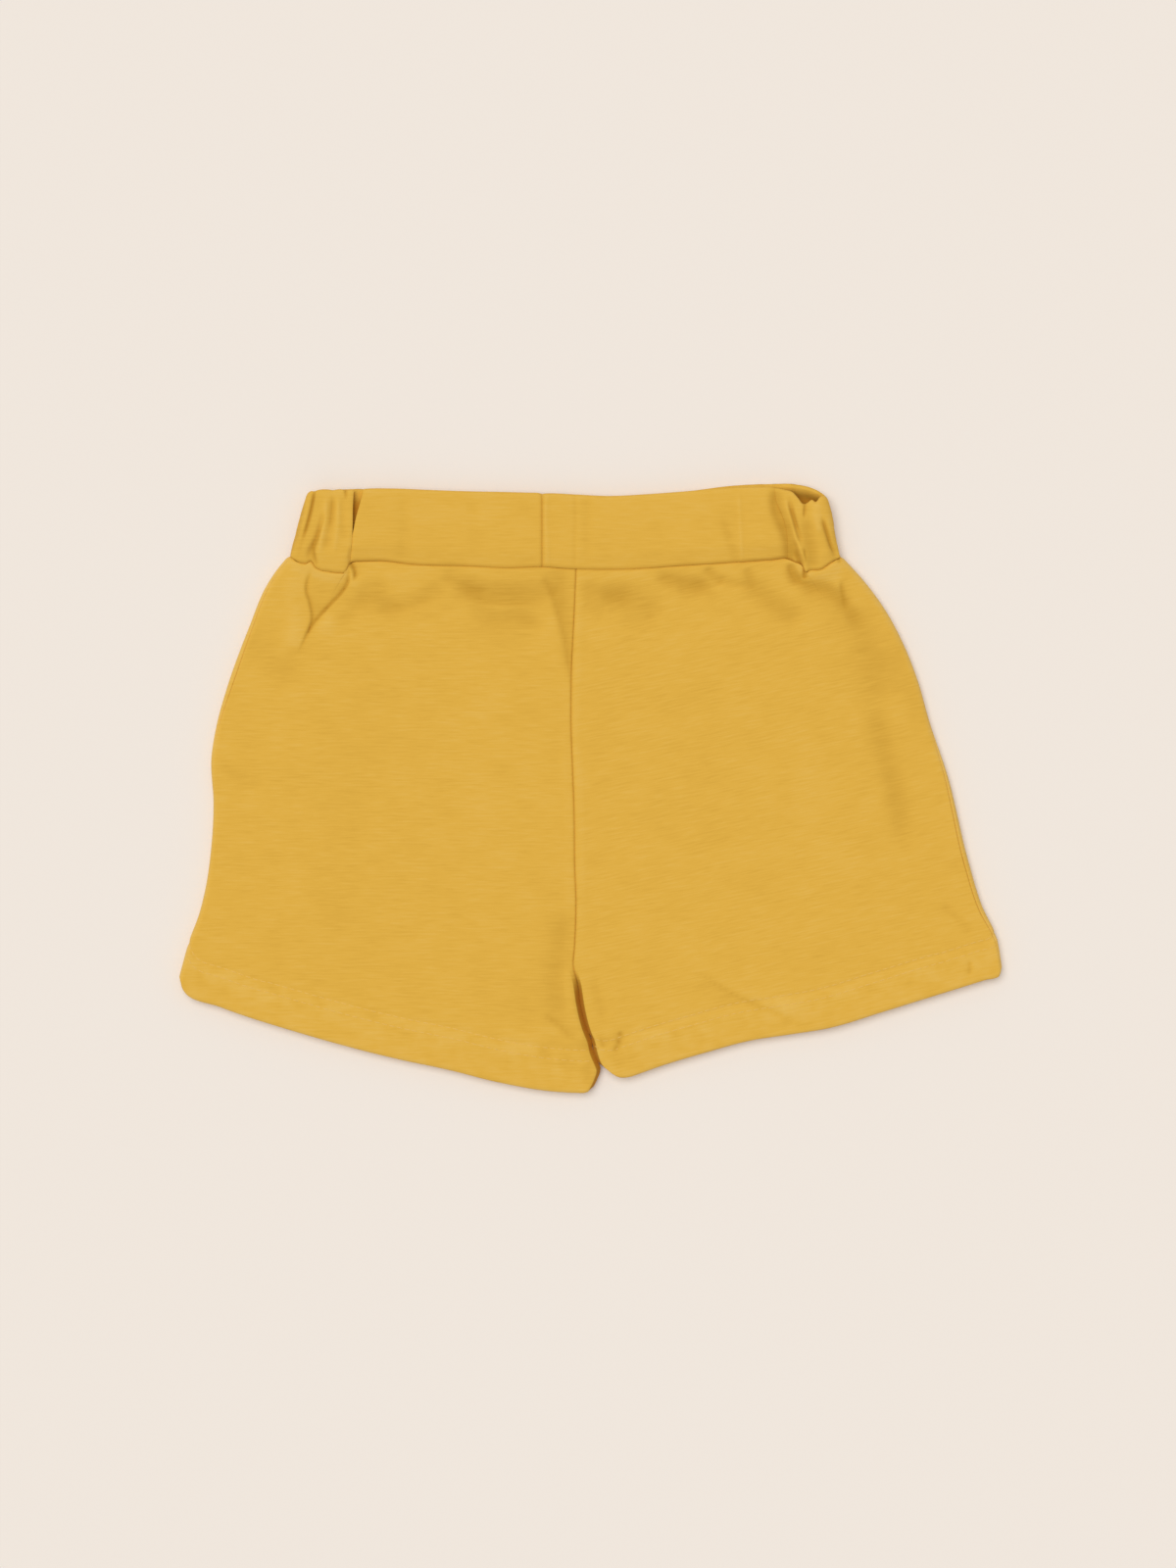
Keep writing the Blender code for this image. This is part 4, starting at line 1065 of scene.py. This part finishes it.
class ShortsCloth(PropertyGroup):
    """Sizes of the cloth and of its seams."""

    ply: length_setting("Ply", "Thickness of one ply of the knit", 0.0013)
    hem_ply: length_setting("Hem", "Thickness of the turned-up hem", 0.0024)
    band_wall: length_setting("Waistband", "Thickness of the waistband with its elastic", 0.0026)
    seam_gap: length_setting("Seam gap", "Gap between two sewn pieces", 0.00004)
    side_turn: length_setting("Side turn", "Width of the turn at the side of a leg", 0.0032)
    inseam_turn: length_setting("Inseam turn", "Width of the turn at the inside of a leg", 0.0019)
    hem_depth: length_setting("Hem depth", "From the hem's folded edge to its stitching", 0.016)
    undulation: length_setting("Undulation", "Height of the low rise and fall of the laid cloth", 0.00013)
    stitch_pitch: length_setting("Stitch pitch", "From one hem stitch to the next", 0.003)
    stitch_rows: IntProperty(
        name="Stitch rows", description="Rows of stitches along each hem", default=2, min=1, max=3
    )


class ShortsColours(PropertyGroup):
    """Colours of the cloth and the floor."""

    knit: colour_setting("Knit", "The mustard knit", "#dfae44")
    # worn is both the hem's real wear and the painted highlight on turned edges; crease and deep are painted
    # shade, of creases and seams, and of the slot and the inside
    worn: colour_setting("Worn knit", "Where the knit is washed out", "#eac26a")
    crease: colour_setting("Creased knit", "Deep in a crease", "#c1902d")
    deep: colour_setting("Deep knit", "Inside and between the legs", "#bb7716")
    floor: colour_setting("Floor", "The paper floor", "#f0e7de")


# -------- operators

# Each slot's knit, and how strong its slubs are: the waistband's is the legs' jersey, a little tighter
KNITS = {"slub_knit": ("slub cotton jersey", 0.17), "waistband_knit": ("doubled slub jersey", 0.14)}


def knit_for(slot):
    """The knit of a slot, made once."""
    name, streaks = KNITS[slot]
    return bpy.data.materials.get(name) or knit_material(name, bpy.context.scene.shorts_colours, streaks)


class SHORTS_OT_legs(Operator):
    """The two back leg panels on the floor, and the two front ones over them."""

    bl_idname = "shorts.legs"
    bl_label = "Legs"

    def execute(self, context):
        for ply in ("back", "front"):
            for leg in SIDES:
                panel = leg_panel(leg, ply, context.scene.shorts_cloth)
                add_cloth(f"{ply}_leg_{leg}", f"{ply}_panel_{leg}", panel, COURSE_DEGREES[leg], "slub_knit")
        return {"FINISHED"}


class SHORTS_OT_elastic_band(Operator):
    """The gathered back waistband, whose two ends come round to the front."""

    bl_idname = "shorts.elastic_band"
    bl_label = "Elastic band"

    def execute(self, context):
        faces = elastic_band_faces(context.scene.shorts_cloth)
        add_cloth("elastic_band", "waistband_back", faces, 0, "waistband_knit")
        return {"FINISHED"}


class SHORTS_OT_front_strips(Operator):
    """The two flat strips of the front waistband, on both sides of its join."""

    bl_idname = "shorts.front_strips"
    bl_label = "Front waistband strips"

    def execute(self, context):
        for side in SIDES:
            faces = strip_faces(side, context.scene.shorts_cloth)
            add_cloth(f"front_strip_{side}", f"waistband_front_{side}", faces, 0, "waistband_knit")
        return {"FINISHED"}


def hem_rows(outer, cloth):
    """The grid rows that lie on the hem's stitch lines: at the hem's depth, and each next one nearer its
    edge."""
    middle = outer[:, outer.shape[1] // 2]
    from_edge = np.linalg.norm(middle[:, :2] - middle[-1, :2], axis=1)
    depths = [cloth.hem_depth / MM - STITCH_ROWS_APART * k for k in range(cloth.stitch_rows)]
    return [int(np.abs(from_edge - depth).argmin()) for depth in depths]


class SHORTS_OT_hem_stitches(Operator):
    """The rows of stitches that hold each turned-up hem, front and back."""

    bl_idname = "shorts.hem_stitches"
    bl_label = "Hem stitches"

    def execute(self, context):
        cloth = context.scene.shorts_cloth
        thread = thread_material(context.scene.shorts_colours)
        for leg in SIDES:
            for ply in ("front", "back"):
                outer = leg_panel(leg, ply, cloth)[0]
                way = 1 if (leg == "left") == (ply == "front") else -1  # the row that turns them outwards
                rows = [
                    thread_mesh(outer[row], outer[row + way], cloth.stitch_pitch / MM)
                    for row in hem_rows(outer, cloth)
                ]
                points = np.concatenate([points for points, _ in rows])
                starts = np.cumsum([0] + [len(points) for points, _ in rows[:-1]])
                faces = np.concatenate([faces + start for (_, faces), start in zip(rows, starts)])
                add_piece(f"hem_stitches_{ply}_{leg}", points, faces, thread)
        return {"FINISHED"}


class SHORTS_OT_declare_sheets(Operator):
    """Takes no step, and leaves the cloth as it is."""

    bl_idname = "shorts.declare_sheets"
    bl_label = "State the cloth"

    def execute(self, context):
        return {"FINISHED"}


class SHORTS_OT_stage(Operator):
    """The pale floor, the soft light from the upper left, and the camera straight above."""

    bl_idname = "shorts.stage"
    bl_label = "Floor, light and camera"

    def execute(self, context):
        scene = context.scene
        mesh = bpy.data.meshes.new("paper_floor")
        reach = (-PAPER_REACH, PAPER_REACH)
        mesh.from_pydata([(x, y, PAPER_LEVEL) for x in reach for y in reach], [], [(0, 2, 3, 1)])
        mesh.materials.append(floor_material(scene.shorts_colours))

        world = bpy.data.worlds.new("soft fill")
        world.use_nodes = True
        background = world.node_tree.nodes["Background"]
        background.inputs["Color"].default_value = linear("#ffffff")
        background.inputs["Strength"].default_value = FILL_STRENGTH
        scene.world = world
        light = bpy.data.lights.new("soft key", "SUN")
        light.energy = SUN_STRENGTH
        light.angle = np.radians(SUN_SPREAD)
        light.color = linear("#fffefc")[:3]
        camera = bpy.data.cameras.new("from above")
        camera.sensor_fit = "VERTICAL"
        camera.sensor_height = SENSOR
        camera.lens = SENSOR * (CAMERA_HEIGHT - CLOTH_HEIGHT) / FRAME_HEIGHT

        floor, key, eye = (bpy.data.objects.new(data.name, data) for data in (mesh, light, camera))
        for part in (floor, key, eye):
            scene.collection.objects.link(part)
        key.rotation_euler = np.radians(SUN_TILT)
        eye.location = (*CAMERA_OVER, CAMERA_HEIGHT)
        scene.camera = eye
        scene.view_settings.view_transform = "Standard"
        return {"FINISHED"}


class SHORTS_PT_pieces(Panel):
    """Lists the pieces of the shorts and their settings."""

    bl_idname = "SHORTS_PT_pieces"
    bl_label = "Baby shorts"
    bl_space_type = "VIEW_3D"
    bl_region_type = "UI"
    bl_category = "Shorts"

    def draw(self, context):
        for group in (context.scene.shorts_cloth, context.scene.shorts_colours):
            for name in group.__annotations__:
                self.layout.prop(group, name)
        for operator in OPERATORS:
            self.layout.operator(operator.bl_idname)


OPERATORS = (
    SHORTS_OT_legs, SHORTS_OT_elastic_band, SHORTS_OT_front_strips, SHORTS_OT_hem_stitches,
    SHORTS_OT_declare_sheets, SHORTS_OT_stage,
)
CLASSES = (ShortsCloth, ShortsColours, *OPERATORS, SHORTS_PT_pieces)


def register():
    for kind in CLASSES:
        bpy.utils.register_class(kind)
    bpy.types.Scene.shorts_cloth = PointerProperty(type=ShortsCloth)
    bpy.types.Scene.shorts_colours = PointerProperty(type=ShortsColours)


def unregister():
    del bpy.types.Scene.shorts_colours
    del bpy.types.Scene.shorts_cloth
    for kind in reversed(CLASSES):
        bpy.utils.unregister_class(kind)


def main():
    """Makes every piece in order."""
    register()
    for operator in OPERATORS:
        group, name = operator.bl_idname.split(".")
        getattr(getattr(bpy.ops, group), name)()


if __name__ == "__main__":
    main()
